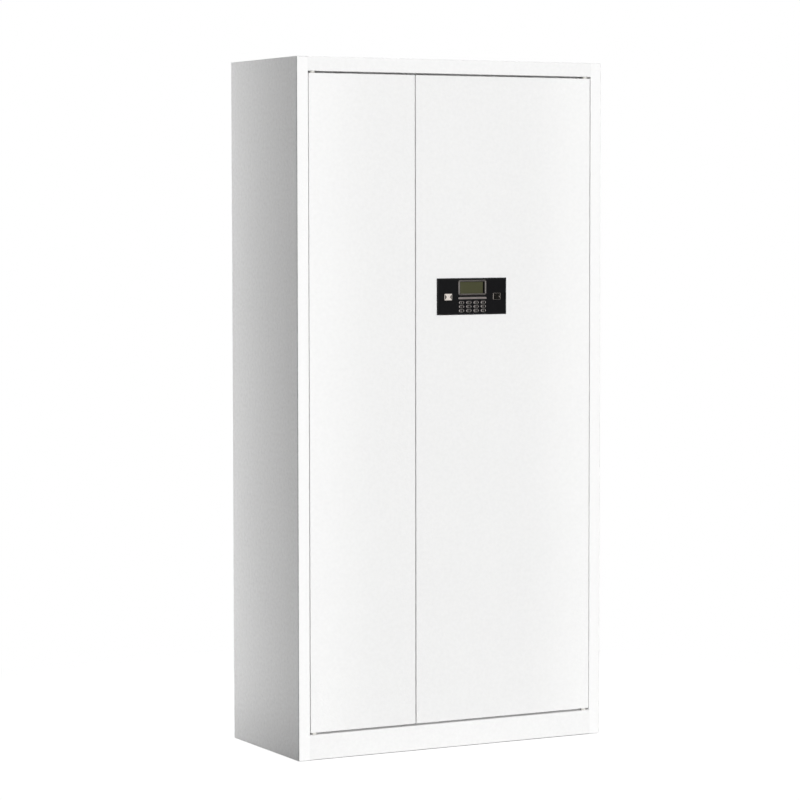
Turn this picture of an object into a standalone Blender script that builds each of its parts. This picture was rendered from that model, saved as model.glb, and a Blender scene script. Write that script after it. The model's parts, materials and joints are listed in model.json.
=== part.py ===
# A two-door steel cupboard with an electronic lock, in metres, +Z up.
# The origin is on the floor, under the middle of the cabinet's box.
import math

import bmesh
import bpy
from mathutils import Matrix, Vector

# Whole cabinet
WIDTH = 0.900
DEPTH = 0.400
HEIGHT = 1.800

# Sheet metal
SHEET = 0.001
BEND = 0.002
BEND_STEPS = 2
SEAT = 0.0003
WELD = 1e-6
ROUND_SIDES = 16
SMOOTH_ANGLE = math.radians(35)

# Carcass folds
STILE_FACE = 0.032
STILE_DEPTH = 0.026
STILE_FOLD = 0.022
TOP_RAIL = 0.0369
BOTTOM_RAIL = 0.065
STOP_SETBACK = 0.0285
STOP_LIP = 0.012
REAR_FLANGE = 0.016
FOOT_FLANGE = 0.030

# Shelf uprights and shelves
UPRIGHT_DEPTH = 0.010
UPRIGHT_WIDTH = 0.024
UPRIGHT_FRONT = 0.066
UPRIGHT_REAR_ROOM = 0.0137
UPRIGHT_TOP_ROOM = 0.040
SLOT_WIDTH = 0.005
SLOT_HEIGHT = 0.014
SLOT_PITCH = 0.056
SHELF_COUNT = 4
SHELF_PITCHES = 6
SHELF_SIDE_GAP = 0.0012
SHELF_FRONT = 0.058
SHELF_REAR_GAP = 0.0037
SHELF_DEEP = 0.028
SHELF_LIP = 0.012
LUG_HEIGHT = 0.009
LUG_REACH = 0.005

# Doors, set flush in the front opening
DOOR_SIDE_GAP = 0.0014
DOOR_END_GAP = 0.0046
MEETING_GAP = 0.002
DOOR_SPLIT = -0.110
DOOR_THICK = 0.024
DOOR_LIP = 0.014

# Hinge pins and bushes
PIVOT_INSET = 0.0131
PIVOT_SETBACK = 0.0068
PIN_RADIUS = 0.003
PIN_FLANGE_RADIUS = 0.004
PIN_FLANGE_THICK = 0.0015
PIN_REACH = 0.014
BUSH_RADIUS = 0.0042
BUSH_PLAY = 0.00015
BUSH_COLLAR_RADIUS = 0.0062
BUSH_DEEP = 0.012

# Hat-section stiffeners
HAT_WIDTH = 0.035
HAT_BRIM = 0.006
HAT_DEEP = 0.0215
HAT_END_ROOM = 0.002
HAT_LUG = 0.002
HAT_LUG_FRONT = 0.004
LEFT_HAT_INSET = 0.0365
RIGHT_HAT_INSET = 0.1561

# Hand bolts of the left door
HAND_BOLT_RADIUS = 0.004
HAND_BOLT_SETBACK = 0.012
HAND_BOLT_LENGTH = 0.1454
KNOB_RADIUS = 0.003
KNOB_TIP = 0.036
KNOB_FROM_TIP = 0.0974
GUIDE_FROM_TIP = 0.0224
GUIDE_SPAN = 0.095
BOLT_THROW = 0.016
BOLT_SINK = 0.0005
BOLT_PLAY = 0.0004
STRIKE_PLAY = 0.001

# Electronic lock, its place on the right door
LOCK_X = 0.055
LOCK_Z = 1.1852

# Lock bezel
BEZEL_WIDTH = 0.2065
BEZEL_HEIGHT = 0.0958
BEZEL_PROUD = 0.006
BEZEL_CHAMFER = 0.003
BOSS_WIDTH = 0.194
BOSS_HEIGHT = 0.090
BOSS_DEEP = 0.0065
BOSS_PLAY = 0.0005
BEZEL_WALL = 0.002
CAVITY_WIDTH = 0.100
CAVITY_HEIGHT = 0.087

# Display
FRAME_WIDTH = 0.0828
FRAME_HEIGHT = 0.0394
FRAME_RISE = 0.0228
FRAME_PROUD = 0.0009
FRAME_LEDGE = 0.0025
FRAME_BORDER = 0.0042
FRAME_CORNER = 0.004
INLAY_DEEP = 0.0006
GLASS_BORDER = 0.002
GLASS_THICK = 0.0018
GLASS_SETBACK = 0.005

# Trim bar under the display
TRIM_WIDTH = 0.083
TRIM_HEIGHT = 0.0052
TRIM_RISE = -0.0044
TRIM_PROUD = 0.0008

# Keypad
KEY_WIDTH = 0.017
KEY_HEIGHT = 0.0084
KEY_PROUD = 0.001
KEY_DEEP = 0.0069
KEY_PLAY = 0.0003
KEY_TRAVEL = 0.001
KEY_EAR = 0.0019
KEY_EAR_THICK = 0.001
KEY_COLUMNS = 4
KEY_ROWS = 3
KEY_COLUMN_PITCH = 0.0217
KEY_ROW_PITCH = 0.0106
KEY_FIRST_RISE = -0.0163
CORNER_STEPS = 4

# Circuit board, behind the keys
BOARD_THICK = 0.0016
BOARD_KEY_ROOM = 0.0002

# Sliding covers and what they hide
CHANNEL_INNER = 0.0613
CHANNEL_HEIGHT = 0.0180
CHANNEL_RISE = -0.001
CHANNEL_DEEP = 0.004
RAIL_GROOVE = 0.0016
RAIL_GROOVE_DEEP = 0.0016
COVER_WIDTH = 0.022
COVER_PLAY = 0.0003
COVER_PROUD = 0.0015
COVER_FOOT = 0.001
COVER_TRAVEL = 0.015
COVER_STOP_PLAY = 0.0007
COVER_REST = 0.0003
COVER_RIM = 0.0012
COVER_DISH = 0.0004
COVER_DISH_TILT = math.radians(5)
HIDDEN_REACH = 0.067

# Emergency key cylinder and power socket
CYLINDER_RADIUS = 0.0085
CYLINDER_SINK = 0.0002
CYLINDER_BACK = 0.0305
PLUG_RADIUS = 0.005
PLUG_PLAY = 0.0002
KEYWAY_WIDTH = 0.0016
KEYWAY_HEIGHT = 0.006
KEYWAY_DEEP = 0.012
CAM_WIDTH = 0.008
CAM_REACH = 0.015
CAM_THICK = 0.0025
CAM_GAP = 0.0005
SOCKET_RADIUS = 0.0045
SOCKET_BORE = 0.00275
SOCKET_DEEP = 0.008
SOCKET_PIN_RADIUS = 0.0009

# Lock case behind the door skin
CASE_LEFT = 0.110
CASE_RIGHT = 0.110
CASE_HALF_HEIGHT = 0.055
CASE_FRONT = 0.007
CASE_BACK = 0.045
CASE_BOSS_RADIUS = 0.0045
CASE_BOSS_INSET = 0.006
CASE_BOSS_RISE = 0.035

# Gear train
GEAR_MODULE = 0.002
PINION_TEETH = 12
MOTOR_TEETH = 10
ADDENDUM = 0.7
DEDENDUM = 1.0
TOOTH_PLAY = 0.0005
PRESSURE_ANGLE = math.radians(20)
FLANK_STEPS = 2
PINION_OFFSET = -0.035
PINION_LAYER = 0.0084
ARBOR_RADIUS = 0.003
LATCH_LAYER = 0.0087
LATCH_THICK = 0.005
LAYER_GAP = 0.0008
ROD_LAYER_THICK = 0.006
RACK_MARGIN = 0.0118
RACK_BACK = 0.0075

# Latch and locking rods
LATCH_BAR = 0.007
LATCH_HEAD_LENGTH = 0.046
LATCH_HEAD_HEIGHT = 0.024
LATCH_HEAD_THICK = 0.008
ROD_RADIUS = 0.0035
ROD_INSET = 0.005
ROD_PLATE_TAIL = 0.024
ROD_GRIP = 0.006
ROD_GUIDE_TOP_INSET = 0.258
ROD_GUIDE_BOTTOM_INSET = 0.432
ROD_GUIDE_WIDTH = 0.026
ROD_GUIDE_HEIGHT = 0.020
ROD_GUIDE_MARGIN = 0.003

# Motor and batteries
MOTOR_RADIUS = 0.012
MOTOR_FRONT = 0.0225
MOTOR_SHAFT_RADIUS = 0.002
MOTOR_SHAFT_GRIP = 0.0055
BATTERY_LEFT = 0.005
BATTERY_RIGHT = 0.100
BATTERY_LOW = 0.0505
BATTERY_HIGH = 0.0115
BATTERY_FRONT = 0.026

# Colour, roughness and metallic value of each finish
FINISHES = {
    "white_paint": ((0.86, 0.86, 0.85, 1.0), 0.45, 0.0),
    "black_plastic": ((0.018, 0.018, 0.019, 1.0), 0.40, 0.0),
    "silver_trim": ((0.72, 0.70, 0.67, 1.0), 0.22, 1.0),
    "lcd_glass": ((0.075, 0.080, 0.038, 1.0), 0.10, 0.0),
    "zinc_steel": ((0.60, 0.60, 0.58, 1.0), 0.35, 1.0),
    "white_nylon": ((0.78, 0.77, 0.73, 1.0), 0.55, 0.0),
    "brass": ((0.72, 0.53, 0.25, 1.0), 0.30, 1.0),
    "green_board": ((0.020, 0.110, 0.045, 1.0), 0.50, 0.0),
}

for leftover in list(bpy.data.objects):
    bpy.data.objects.remove(leftover, do_unlink=True)


def new_collection(name):
    made = bpy.data.collections.new(name)
    bpy.context.scene.collection.children.link(made)
    return made


parts = new_collection("locking_file_cabinet")
cutters = new_collection("cutters")

# The carcass front plane is at FRONT, and every depth below is measured from it.
FRONT = -DEPTH / 2 + (BEZEL_PROUD + COVER_PROUD) / 2
HALF = WIDTH / 2
OPENING = HALF - STILE_FACE
LEDGE = BOTTOM_RAIL
LINTEL = HEIGHT - TOP_RAIL
FLOOR = BOTTOM_RAIL + STOP_LIP
SIDE_TOP = HEIGHT - SHEET - SEAT
DOOR_LOW = LEDGE + DOOR_END_GAP
DOOR_HIGH = LINTEL - DOOR_END_GAP
SKIN_SEAT = FRONT + SHEET + SEAT
BACK = FRONT + DEPTH
INNER_HALF = HALF - SHEET - SEAT
BACK_PANEL_REAR = BACK - SHEET - SEAT
BACK_PANEL_FRONT = BACK_PANEL_REAR - SHEET
UPRIGHT_WEB = INNER_HALF - UPRIGHT_DEPTH
UPRIGHT_NEAR = {
    "front": FRONT + UPRIGHT_FRONT,
    "rear": BACK_PANEL_FRONT - UPRIGHT_REAR_ROOM - UPRIGHT_WIDTH,
}
DOOR_EDGES = {
    "left": (-OPENING + DOOR_SIDE_GAP, DOOR_SPLIT - MEETING_GAP / 2),
    "right": (OPENING - DOOR_SIDE_GAP, DOOR_SPLIT + MEETING_GAP / 2),
}
PIVOT_X = {"left": DOOR_EDGES["left"][0] + PIVOT_INSET, "right": DOOR_EDGES["right"][0] - PIVOT_INSET}
PIVOT_Y = FRONT + PIVOT_SETBACK
HAT_X = {"left": DOOR_EDGES["left"][1] - LEFT_HAT_INSET, "right": DOOR_EDGES["right"][0] - RIGHT_HAT_INSET}
HAND_BOLT_Y = FRONT + HAND_BOLT_SETBACK
PITCH_RADIUS = GEAR_MODULE * PINION_TEETH / 2
PINION_X = LOCK_X + PINION_OFFSET
ROD_X = {"top": PINION_X - PITCH_RADIUS - ROD_INSET, "bottom": PINION_X + PITCH_RADIUS + ROD_INSET}
ROD_LAYER = FRONT + LATCH_LAYER + LATCH_THICK + LAYER_GAP
ROD_Y = ROD_LAYER + ROD_LAYER_THICK / 2
LATCH_Y = FRONT + LATCH_LAYER
LATCH_HEAD_Y = LATCH_Y - SEAT
LATCH_Z = LOCK_Z - PITCH_RADIUS - DEDENDUM * GEAR_MODULE - LATCH_BAR / 2


def new_material(name, finish):
    colour, roughness, metallic = FINISHES[finish]
    surface = bpy.data.materials.new(name)
    surface.use_nodes = True
    shader = surface.node_tree.nodes["Principled BSDF"]
    shader.inputs["Base Color"].default_value = colour
    shader.inputs["Roughness"].default_value = roughness
    shader.inputs["Metallic"].default_value = metallic
    return surface


def box(one, other, tilt=0.0):
    low = Vector(map(min, one, other))
    high = Vector(map(max, one, other))
    centre = (low + high) / 2
    size = high - low
    turn = Matrix.Rotation(tilt, 4, "Z")
    place = Matrix.Translation(centre) @ turn @ Matrix.Diagonal((*size, 1.0))

    def shape(work):
        bmesh.ops.create_cube(work, size=1.0, matrix=place)

    return shape


def rod(start, end, radius):
    along = Vector(end) - Vector(start)
    turn = along.to_track_quat("Z", "Y").to_matrix().to_4x4()
    place = Matrix.Translation(Vector(start) + along / 2) @ turn

    def shape(work):
        bmesh.ops.create_cone(work, cap_ends=True, segments=ROUND_SIDES, radius1=radius, radius2=radius,
                              depth=along.length, matrix=place)

    return shape


def plate(outline, front, back):
    # A flat outline in X and Z, as thick as the way from front to back.
    def shape(work):
        drawing = bpy.data.curves.new("outline", "CURVE")
        drawing.dimensions = "2D"
        drawing.fill_mode = "BOTH"
        drawing.extrude = (back - front) / 2
        spline = drawing.splines.new("POLY")
        spline.points.add(len(outline) - 1)
        for point, (x, z) in zip(spline.points, outline):
            point.co = (x, z, 0.0, 1.0)
        spline.use_cyclic_u = True
        flat = bpy.data.objects.new("outline", drawing)
        flat.rotation_euler.x = math.pi / 2
        flat.location.y = (front + back) / 2
        cutters.objects.link(flat)
        bpy.context.view_layer.update()
        ready = flat.evaluated_get(bpy.context.evaluated_depsgraph_get())
        mesh = bpy.data.meshes.new_from_object(ready)
        mesh.transform(flat.matrix_world)
        bpy.data.objects.remove(flat)
        work.from_mesh(mesh)
        bpy.data.meshes.remove(mesh)
        bmesh.ops.remove_doubles(work, verts=work.verts, dist=WELD)
        bmesh.ops.recalc_face_normals(work, faces=work.faces)

    return shape


def to_mesh(name, work, origin):
    bmesh.ops.translate(work, vec=-Vector(origin), verts=work.verts)
    mesh = bpy.data.meshes.new(name)
    work.to_mesh(mesh)
    work.free()
    mesh.shade_smooth()
    mesh.set_sharp_from_angle(angle=SMOOTH_ANGLE)
    return mesh


def mesh_of(name, shapes, origin):
    work = bmesh.new()
    for shape in shapes:
        shape(work)
    return to_mesh(name, work, origin)


def add(name, mesh, finish, origin=(0.0, 0.0, 0.0), pivot=None):
    thing = bpy.data.objects.new(name, mesh)
    thing.location = origin
    if pivot:
        thing.parent = pivot
        thing.location -= pivot.location
    parts.objects.link(thing)
    if not mesh.materials:
        mesh.materials.append(new_material(name, finish))
    return thing


def solid(name, finish, shapes, origin=(0.0, 0.0, 0.0), pivot=None):
    return add(name, mesh_of(name, shapes, origin), finish, origin, pivot)


def place_of(thing):
    place = thing.location.copy()
    while thing.parent:
        thing = thing.parent
        place += thing.location
    return place


def combine(thing, shapes, operation):
    name = f"{thing.name}_{operation.lower()}_{len(thing.modifiers)}"
    tool = bpy.data.objects.new(name, mesh_of(name, shapes, place_of(thing)))
    tool.parent = thing
    tool.hide_render = True
    tool.display_type = "WIRE"
    cutters.objects.link(tool)
    step = thing.modifiers.new(name, "BOOLEAN")
    step.operation = operation
    step.solver = "EXACT"
    step.object = tool


def cut(thing, *shapes):
    combine(thing, shapes, "DIFFERENCE")


def join(thing, *shapes):
    combine(thing, shapes, "UNION")


def thicken(thing):
    sheet = thing.modifiers.new("sheet", "SOLIDIFY")
    sheet.thickness = SHEET
    sheet.offset = -1.0
    sheet.use_even_offset = True


def settle(thing):
    # Turns the modifiers into plain mesh, so that copies can share it.
    bpy.context.view_layer.update()
    ready = thing.evaluated_get(bpy.context.evaluated_depsgraph_get())
    mesh = bpy.data.meshes.new_from_object(ready)
    thing.modifiers.clear()
    thing.data = mesh
    for tool in list(thing.children):
        bpy.data.objects.remove(tool)


def rounded(path):
    # Right-angled corners become bends of the sheet's outer radius.
    points = [Vector(path[0])]
    for before, corner, after in zip(path, path[1:], path[2:]):
        corner = Vector(corner)
        back = (Vector(before) - corner).normalized() * BEND
        ahead = (Vector(after) - corner).normalized() * BEND
        for step in range(BEND_STEPS + 1):
            turn = math.pi / 2 * step / BEND_STEPS
            points.append(corner + back * (1 - math.sin(turn)) + ahead * (1 - math.cos(turn)))
    points.append(Vector(path[-1]))
    return points


def fold(name, path, axis, start, end, pivot=None, finish="white_paint"):
    # A sheet bent along a path in the plane across the axis, lying to the right of the path.
    along = Vector((axis == "X", 0, axis == "Z")) * (end - start)
    spots = [Vector((start, u, v)) if axis == "X" else Vector((u, v, start)) for u, v in rounded(path)]
    work = bmesh.new()
    verts = [work.verts.new(spot) for spot in spots]
    edges = [work.edges.new(pair) for pair in zip(verts, verts[1:])]
    first = edges[0]
    swept = bmesh.ops.extrude_edge_only(work, edges=edges)
    moved = [item for item in swept["geom"] if isinstance(item, bmesh.types.BMVert)]
    bmesh.ops.translate(work, vec=along, verts=moved)
    bmesh.ops.recalc_face_normals(work, faces=work.faces)
    outward = along.cross(spots[1] - spots[0])
    if first.link_faces[0].normal.dot(outward) < 0:
        bmesh.ops.reverse_faces(work, faces=work.faces)
    thing = add(name, to_mesh(name, work, (0.0, 0.0, 0.0)), finish, pivot=pivot)
    thicken(thing)
    return thing


def pan(name, low, high, mouth, lip, finish, origin, pivot=None):
    # A folded tray, open towards mouth, with a lip turned in round the opening.
    mouth = Vector(mouth)
    work = bmesh.new()
    box(low, high)(work)
    lid = max(work.faces, key=lambda face: face.normal.dot(mouth))
    bends = [edge for edge in work.edges if lip or lid not in edge.link_faces]
    bmesh.ops.bevel(work, geom=bends, offset=BEND, segments=BEND_STEPS, profile=0.5, affect="EDGES")
    lid = max(work.faces, key=lambda face: face.normal.dot(mouth) * face.calc_area())
    if lip:
        bmesh.ops.inset_region(work, faces=[lid], thickness=lip - BEND, use_even_offset=True)
    bmesh.ops.delete(work, geom=[lid], context="FACES")
    thing = add(name, to_mesh(name, work, origin), finish, origin, pivot)
    thicken(thing)
    return thing


def turned(name, finish, profile, origin, pivot=None):
    # Radius and height pairs, from the top down the outer side, turned about the origin's Z axis.
    work = bmesh.new()
    verts = [work.verts.new((radius, 0.0, height - origin[2])) for radius, height in profile]
    for pair in zip(verts, verts[1:]):
        work.edges.new(pair)
    if profile[-1][0] > 0:
        work.edges.new((verts[-1], verts[0]))
    thing = add(name, to_mesh(name, work, (0.0, 0.0, 0.0)), finish, origin, pivot)
    turn = thing.modifiers.new("turn", "SCREW")
    turn.steps = ROUND_SIDES
    turn.render_steps = ROUND_SIDES
    turn.use_merge_vertices = True
    turn.merge_threshold = WELD
    return thing


def mirrored(path):
    # The same fold on the other side of the cabinet.
    return [(-x, y) for x, y in reversed(path)]


def rectangle(x, z, width, height, corner, steps=CORNER_STEPS):
    # A rectangle about a middle point, with round corners.
    points = []
    for quarter, (side, rise) in enumerate([(1, 1), (-1, 1), (-1, -1), (1, -1)]):
        middle_x = x + side * (width / 2 - corner)
        middle_z = z + rise * (height / 2 - corner)
        for step in range(steps + 1):
            turn = math.pi / 2 * (quarter + step / steps)
            spot = (middle_x + corner * math.cos(turn), middle_z + corner * math.sin(turn))
            if not points or math.dist(spot, points[-1]) > WELD:
                points.append(spot)
    return points if math.dist(points[0], points[-1]) > WELD else points[:-1]


def upright_hole(x, y, low, high, radius):
    return rod((x, y, low), (x, y, high), radius)


def strike_holes(level, rod_x):
    # Holes in a rail's flange for the hinge pins, the hand bolt and the locking rod.
    low = level - 2 * SHEET
    high = level + 2 * SHEET
    pins = [upright_hole(x, PIVOT_Y, low, high, PIN_RADIUS + SEAT) for x in PIVOT_X.values()]
    hand = upright_hole(HAT_X["left"], HAND_BOLT_Y, low, high, HAND_BOLT_RADIUS + STRIKE_PLAY)
    return [*pins, hand, upright_hole(rod_x, ROD_Y, low, high, ROD_RADIUS + STRIKE_PLAY)]


def build_side_panels():
    left = [
        (-OPENING - STILE_FOLD, FRONT + STILE_DEPTH),
        (-OPENING, FRONT + STILE_DEPTH),
        (-OPENING, FRONT),
        (-HALF, FRONT),
        (-HALF, BACK),
        (-HALF + REAR_FLANGE, BACK),
    ]
    fold("left_side_panel", left, "Z", 0.0, SIDE_TOP)
    fold("right_side_panel", mirrored(left), "Z", 0.0, SIDE_TOP)


def build_top_panel():
    stop = FRONT + STOP_SETBACK
    path = [
        (stop, LINTEL - STOP_LIP),
        (stop, LINTEL),
        (FRONT, LINTEL),
        (FRONT, HEIGHT),
        (BACK, HEIGHT),
        (BACK, HEIGHT - REAR_FLANGE),
    ]
    panel = fold("top_panel", path, "X", -HALF, HALF)
    outside = HALF + SHEET
    stile = OPENING - SEAT
    flange = HALF - REAR_FLANGE - SEAT
    under = SIDE_TOP + SEAT / 2
    notches = []
    for side in (-1, 1):
        low = LINTEL - STOP_LIP - SHEET
        notches.append(box((side * stile, FRONT - SHEET, low), (side * outside, stop + 2 * SHEET, under)))
        low = HEIGHT - REAR_FLANGE - SHEET
        notches.append(box((side * flange, BACK - BEND - SHEET, low), (side * outside, BACK + SHEET, under)))
    cut(panel, *notches)
    cut(panel, *strike_holes(LINTEL, ROD_X["top"]))


def build_bottom_panel():
    stop = FRONT + STOP_SETBACK
    rear = BACK_PANEL_FRONT - SEAT
    path = [
        (FRONT + FOOT_FLANGE, 0.0),
        (FRONT, 0.0),
        (FRONT, LEDGE),
        (stop, LEDGE),
        (stop, FLOOR),
        (rear, FLOOR),
        (rear, 0.0),
        (rear - FOOT_FLANGE, 0.0),
    ]
    panel = fold("bottom_panel", path, "X", -INNER_HALF, INNER_HALF)
    stile = OPENING - SEAT
    behind = FRONT + STILE_DEPTH + SEAT
    notches = [
        box((side * stile, FRONT - SHEET, -SHEET), (side * HALF, behind, FLOOR + SHEET))
        for side in (-1, 1)
    ]
    cut(panel, *notches)
    cut(panel, *strike_holes(LEDGE, ROD_X["bottom"]))


def build_back_panel():
    half = HALF - BEND - SEAT
    low = (-half, BACK_PANEL_FRONT, SEAT)
    high = (half, BACK_PANEL_REAR, HEIGHT - BEND - SEAT)
    solid("back_panel", "white_paint", [box(low, high)])


def slot_low(count):
    return FLOOR + SLOT_PITCH * count


def build_uprights():
    top = HEIGHT - UPRIGHT_TOP_ROOM
    slots = int((top - FLOOR - SLOT_HEIGHT) / SLOT_PITCH)
    for place, near in UPRIGHT_NEAR.items():
        far = near + UPRIGHT_WIDTH
        middle = (near + far) / 2
        left = [(-INNER_HALF, far), (-UPRIGHT_WEB, far), (-UPRIGHT_WEB, near), (-INNER_HALF, near)]
        for side, sign, path in (("left", -1, left), ("right", 1, mirrored(left))):
            channel = fold(f"{place}_{side}_upright", path, "Z", FLOOR + SEAT, top)
            holes = []
            for count in range(1, slots + 1):
                low = slot_low(count)
                one = (sign * (UPRIGHT_WEB - SHEET), middle - SLOT_WIDTH / 2, low)
                other = (sign * (UPRIGHT_WEB + 2 * SHEET), middle + SLOT_WIDTH / 2, low + SLOT_HEIGHT)
                holes.append(box(one, other))
            cut(channel, *holes)


def build_shelves():
    half = UPRIGHT_WEB - SHELF_SIDE_GAP
    lug_half = SLOT_WIDTH / 2 - SEAT
    middles = [slot_low(SHELF_PITCHES * (count + 1)) + SEAT + LUG_HEIGHT / 2 for count in range(SHELF_COUNT)]
    middle = middles[0]
    low = (-half, FRONT + SHELF_FRONT, middle - SHELF_DEEP / 2)
    high = (half, BACK_PANEL_FRONT - SHELF_REAR_GAP, middle + SHELF_DEEP / 2)
    shelf = pan("shelf_1", low, high, (0, 0, -1), SHELF_LIP, "white_paint", (0.0, 0.0, middle))
    lugs = []
    for near in UPRIGHT_NEAR.values():
        y = near + UPRIGHT_WIDTH / 2
        for side in (-1, 1):
            one = (side * (half - SHEET / 2), y - lug_half, middle - LUG_HEIGHT / 2)
            other = (side * (UPRIGHT_WEB + LUG_REACH), y + lug_half, middle + LUG_HEIGHT / 2)
            lugs.append(box(one, other))
    join(shelf, *lugs)
    settle(shelf)
    for count, height in enumerate(middles[1:], start=2):
        add(f"shelf_{count}", shelf.data, "white_paint", (0.0, 0.0, height))


def build_hinge(side, end, pivot):
    # A flanged pin in the rail's flange, in a collared bush in the door's edge.
    up = 1 if end == "bottom" else -1
    rail = LEDGE if end == "bottom" else LINTEL
    edge = DOOR_LOW if end == "bottom" else DOOR_HIGH
    origin = (PIVOT_X[side], PIVOT_Y, edge)
    seat = rail - up * (SHEET + SEAT)
    pin = [
        (0.0, edge + up * PIN_REACH),
        (PIN_RADIUS, edge + up * PIN_REACH),
        (PIN_RADIUS, seat),
        (PIN_FLANGE_RADIUS, seat),
        (PIN_FLANGE_RADIUS, seat - up * PIN_FLANGE_THICK),
        (0.0, seat - up * PIN_FLANGE_THICK),
    ]
    bore = PIN_RADIUS + BUSH_PLAY
    bush = [
        (bore, edge + up * BUSH_DEEP),
        (BUSH_RADIUS, edge + up * BUSH_DEEP),
        (BUSH_RADIUS, edge - up * SEAT),
        (BUSH_COLLAR_RADIUS, edge - up * SEAT),
        (BUSH_COLLAR_RADIUS, rail + up * SEAT),
        (bore, rail + up * SEAT),
    ]
    if up < 0:
        pin.reverse()
        bush.reverse()
    turned(f"{side}_{end}_hinge_pin", "zinc_steel", pin, origin)
    turned(f"{side}_{end}_hinge_bush", "white_nylon", bush, origin, pivot)


def build_door(side):
    hinge_edge, free_edge = DOOR_EDGES[side]
    pivot = bpy.data.objects.new(f"{side}_door_pivot", None)
    pivot.location = (PIVOT_X[side], PIVOT_Y, 0.0)
    parts.objects.link(pivot)
    low = (min(hinge_edge, free_edge), FRONT, DOOR_LOW)
    high = (max(hinge_edge, free_edge), FRONT + DOOR_THICK, DOOR_HIGH)
    door = pan(f"{side}_door", low, high, (0, 1, 0), DOOR_LIP, "white_paint", pivot.location, pivot)
    bolt_x, bolt_y, radius = HAT_X["left"], HAND_BOLT_Y, HAND_BOLT_RADIUS
    holes = []
    for end, edge in (("bottom", DOOR_LOW), ("top", DOOR_HIGH)):
        build_hinge(side, end, pivot)
        if side == "right":
            bolt_x, bolt_y, radius = ROD_X[end], ROD_Y, ROD_RADIUS
        near = edge - 2 * SHEET
        far = edge + 2 * SHEET
        holes.append(upright_hole(PIVOT_X[side], PIVOT_Y, near, far, BUSH_RADIUS + SEAT))
        holes.append(upright_hole(bolt_x, bolt_y, near, far, radius + BOLT_PLAY))
    half = LATCH_HEAD_HEIGHT / 2 + BOLT_PLAY
    one = (free_edge - 2 * SHEET, LATCH_HEAD_Y - BOLT_PLAY, LATCH_Z - half)
    other = (free_edge + 2 * SHEET, LATCH_HEAD_Y + LATCH_HEAD_THICK + BOLT_PLAY, LATCH_Z + half)
    holes.append(box(one, other))
    cut(door, *holes)
    return door, pivot


def build_stiffener(side, pivot):
    near = HAT_X[side] - HAT_WIDTH / 2
    far = HAT_X[side] + HAT_WIDTH / 2
    deep = FRONT + HAT_DEEP
    path = [
        (far + HAT_BRIM, SKIN_SEAT),
        (far, SKIN_SEAT),
        (far, deep),
        (near, deep),
        (near, SKIN_SEAT),
        (near - HAT_BRIM, SKIN_SEAT),
    ]
    room = DOOR_LIP + HAT_END_ROOM
    return fold(f"{side}_door_stiffener", path, "Z", DOOR_LOW + room, DOOR_HIGH - room, pivot)


def build_hand_bolts(stiffener, pivot):
    # Two bolts slide in lugs inside the hat section, and their knobs stand out through slots.
    x = HAT_X["left"]
    half = HAT_WIDTH / 2 + SHEET / 2
    deep = FRONT + HAT_DEEP
    lugs = []
    holes = []
    slots = []
    for end, edge, out in (("bottom", DOOR_LOW, -1), ("top", DOOR_HIGH, 1)):
        tip = edge - out * BOLT_SINK
        tail = tip - out * HAND_BOLT_LENGTH
        knob = tip - out * KNOB_FROM_TIP
        shank = rod((x, HAND_BOLT_Y, tail), (x, HAND_BOLT_Y, tip), HAND_BOLT_RADIUS)
        bolt = solid(f"left_{end}_bolt", "zinc_steel", [shank], (x, HAND_BOLT_Y, tip), pivot)
        join(bolt, rod((x, HAND_BOLT_Y, knob), (x, FRONT + KNOB_TIP, knob), KNOB_RADIUS))
        for lug in (tip - out * GUIDE_FROM_TIP, tip - out * (GUIDE_FROM_TIP + GUIDE_SPAN)):
            one = (x - half, FRONT + HAT_LUG_FRONT, lug - HAT_LUG / 2)
            lugs.append(box(one, (x + half, deep + SHEET / 2, lug + HAT_LUG / 2)))
            bore = HAND_BOLT_RADIUS + BOLT_PLAY
            holes.append(upright_hole(x, HAND_BOLT_Y, lug - HAT_LUG, lug + HAT_LUG, bore))
        reach = KNOB_RADIUS + BOLT_PLAY
        one = (x - reach, deep - SHEET, knob - out * reach)
        slots.append(box(one, (x + reach, deep + 2 * SHEET, knob + out * (BOLT_THROW + reach))))
    join(stiffener, *lugs)
    cut(stiffener, *holes, *slots)


def tooth_phase(direction):
    # How far the pinion has turned past a tooth, in teeth, seen along a direction from its centre.
    return direction / (math.tau / PINION_TEETH) % 1


def gear_outline(teeth, x, z, first):
    # Stub involute teeth, one of them centred on the first angle.
    def involute(angle):
        return math.tan(angle) - angle

    pitch = GEAR_MODULE * teeth / 2
    base = pitch * math.cos(PRESSURE_ANGLE)
    root = pitch - DEDENDUM * GEAR_MODULE
    tip = pitch + ADDENDUM * GEAR_MODULE
    at_base = math.pi / (2 * teeth) - TOOTH_PLAY / (4 * pitch) + involute(PRESSURE_ANGLE)
    flank = [(root, at_base)]
    for step in range(FLANK_STEPS + 1):
        radius = base + (tip - base) * step / FLANK_STEPS
        flank.append((radius, at_base - involute(math.acos(min(1.0, base / radius)))))
    points = []
    for tooth in range(teeth):
        middle = first + math.tau * tooth / teeth
        sides = [(radius, middle - half) for radius, half in flank]
        sides += [(radius, middle + half) for radius, half in reversed(flank)]
        points += [(x + radius * math.cos(turn), z + radius * math.sin(turn)) for radius, turn in sides]
    return points


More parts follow.
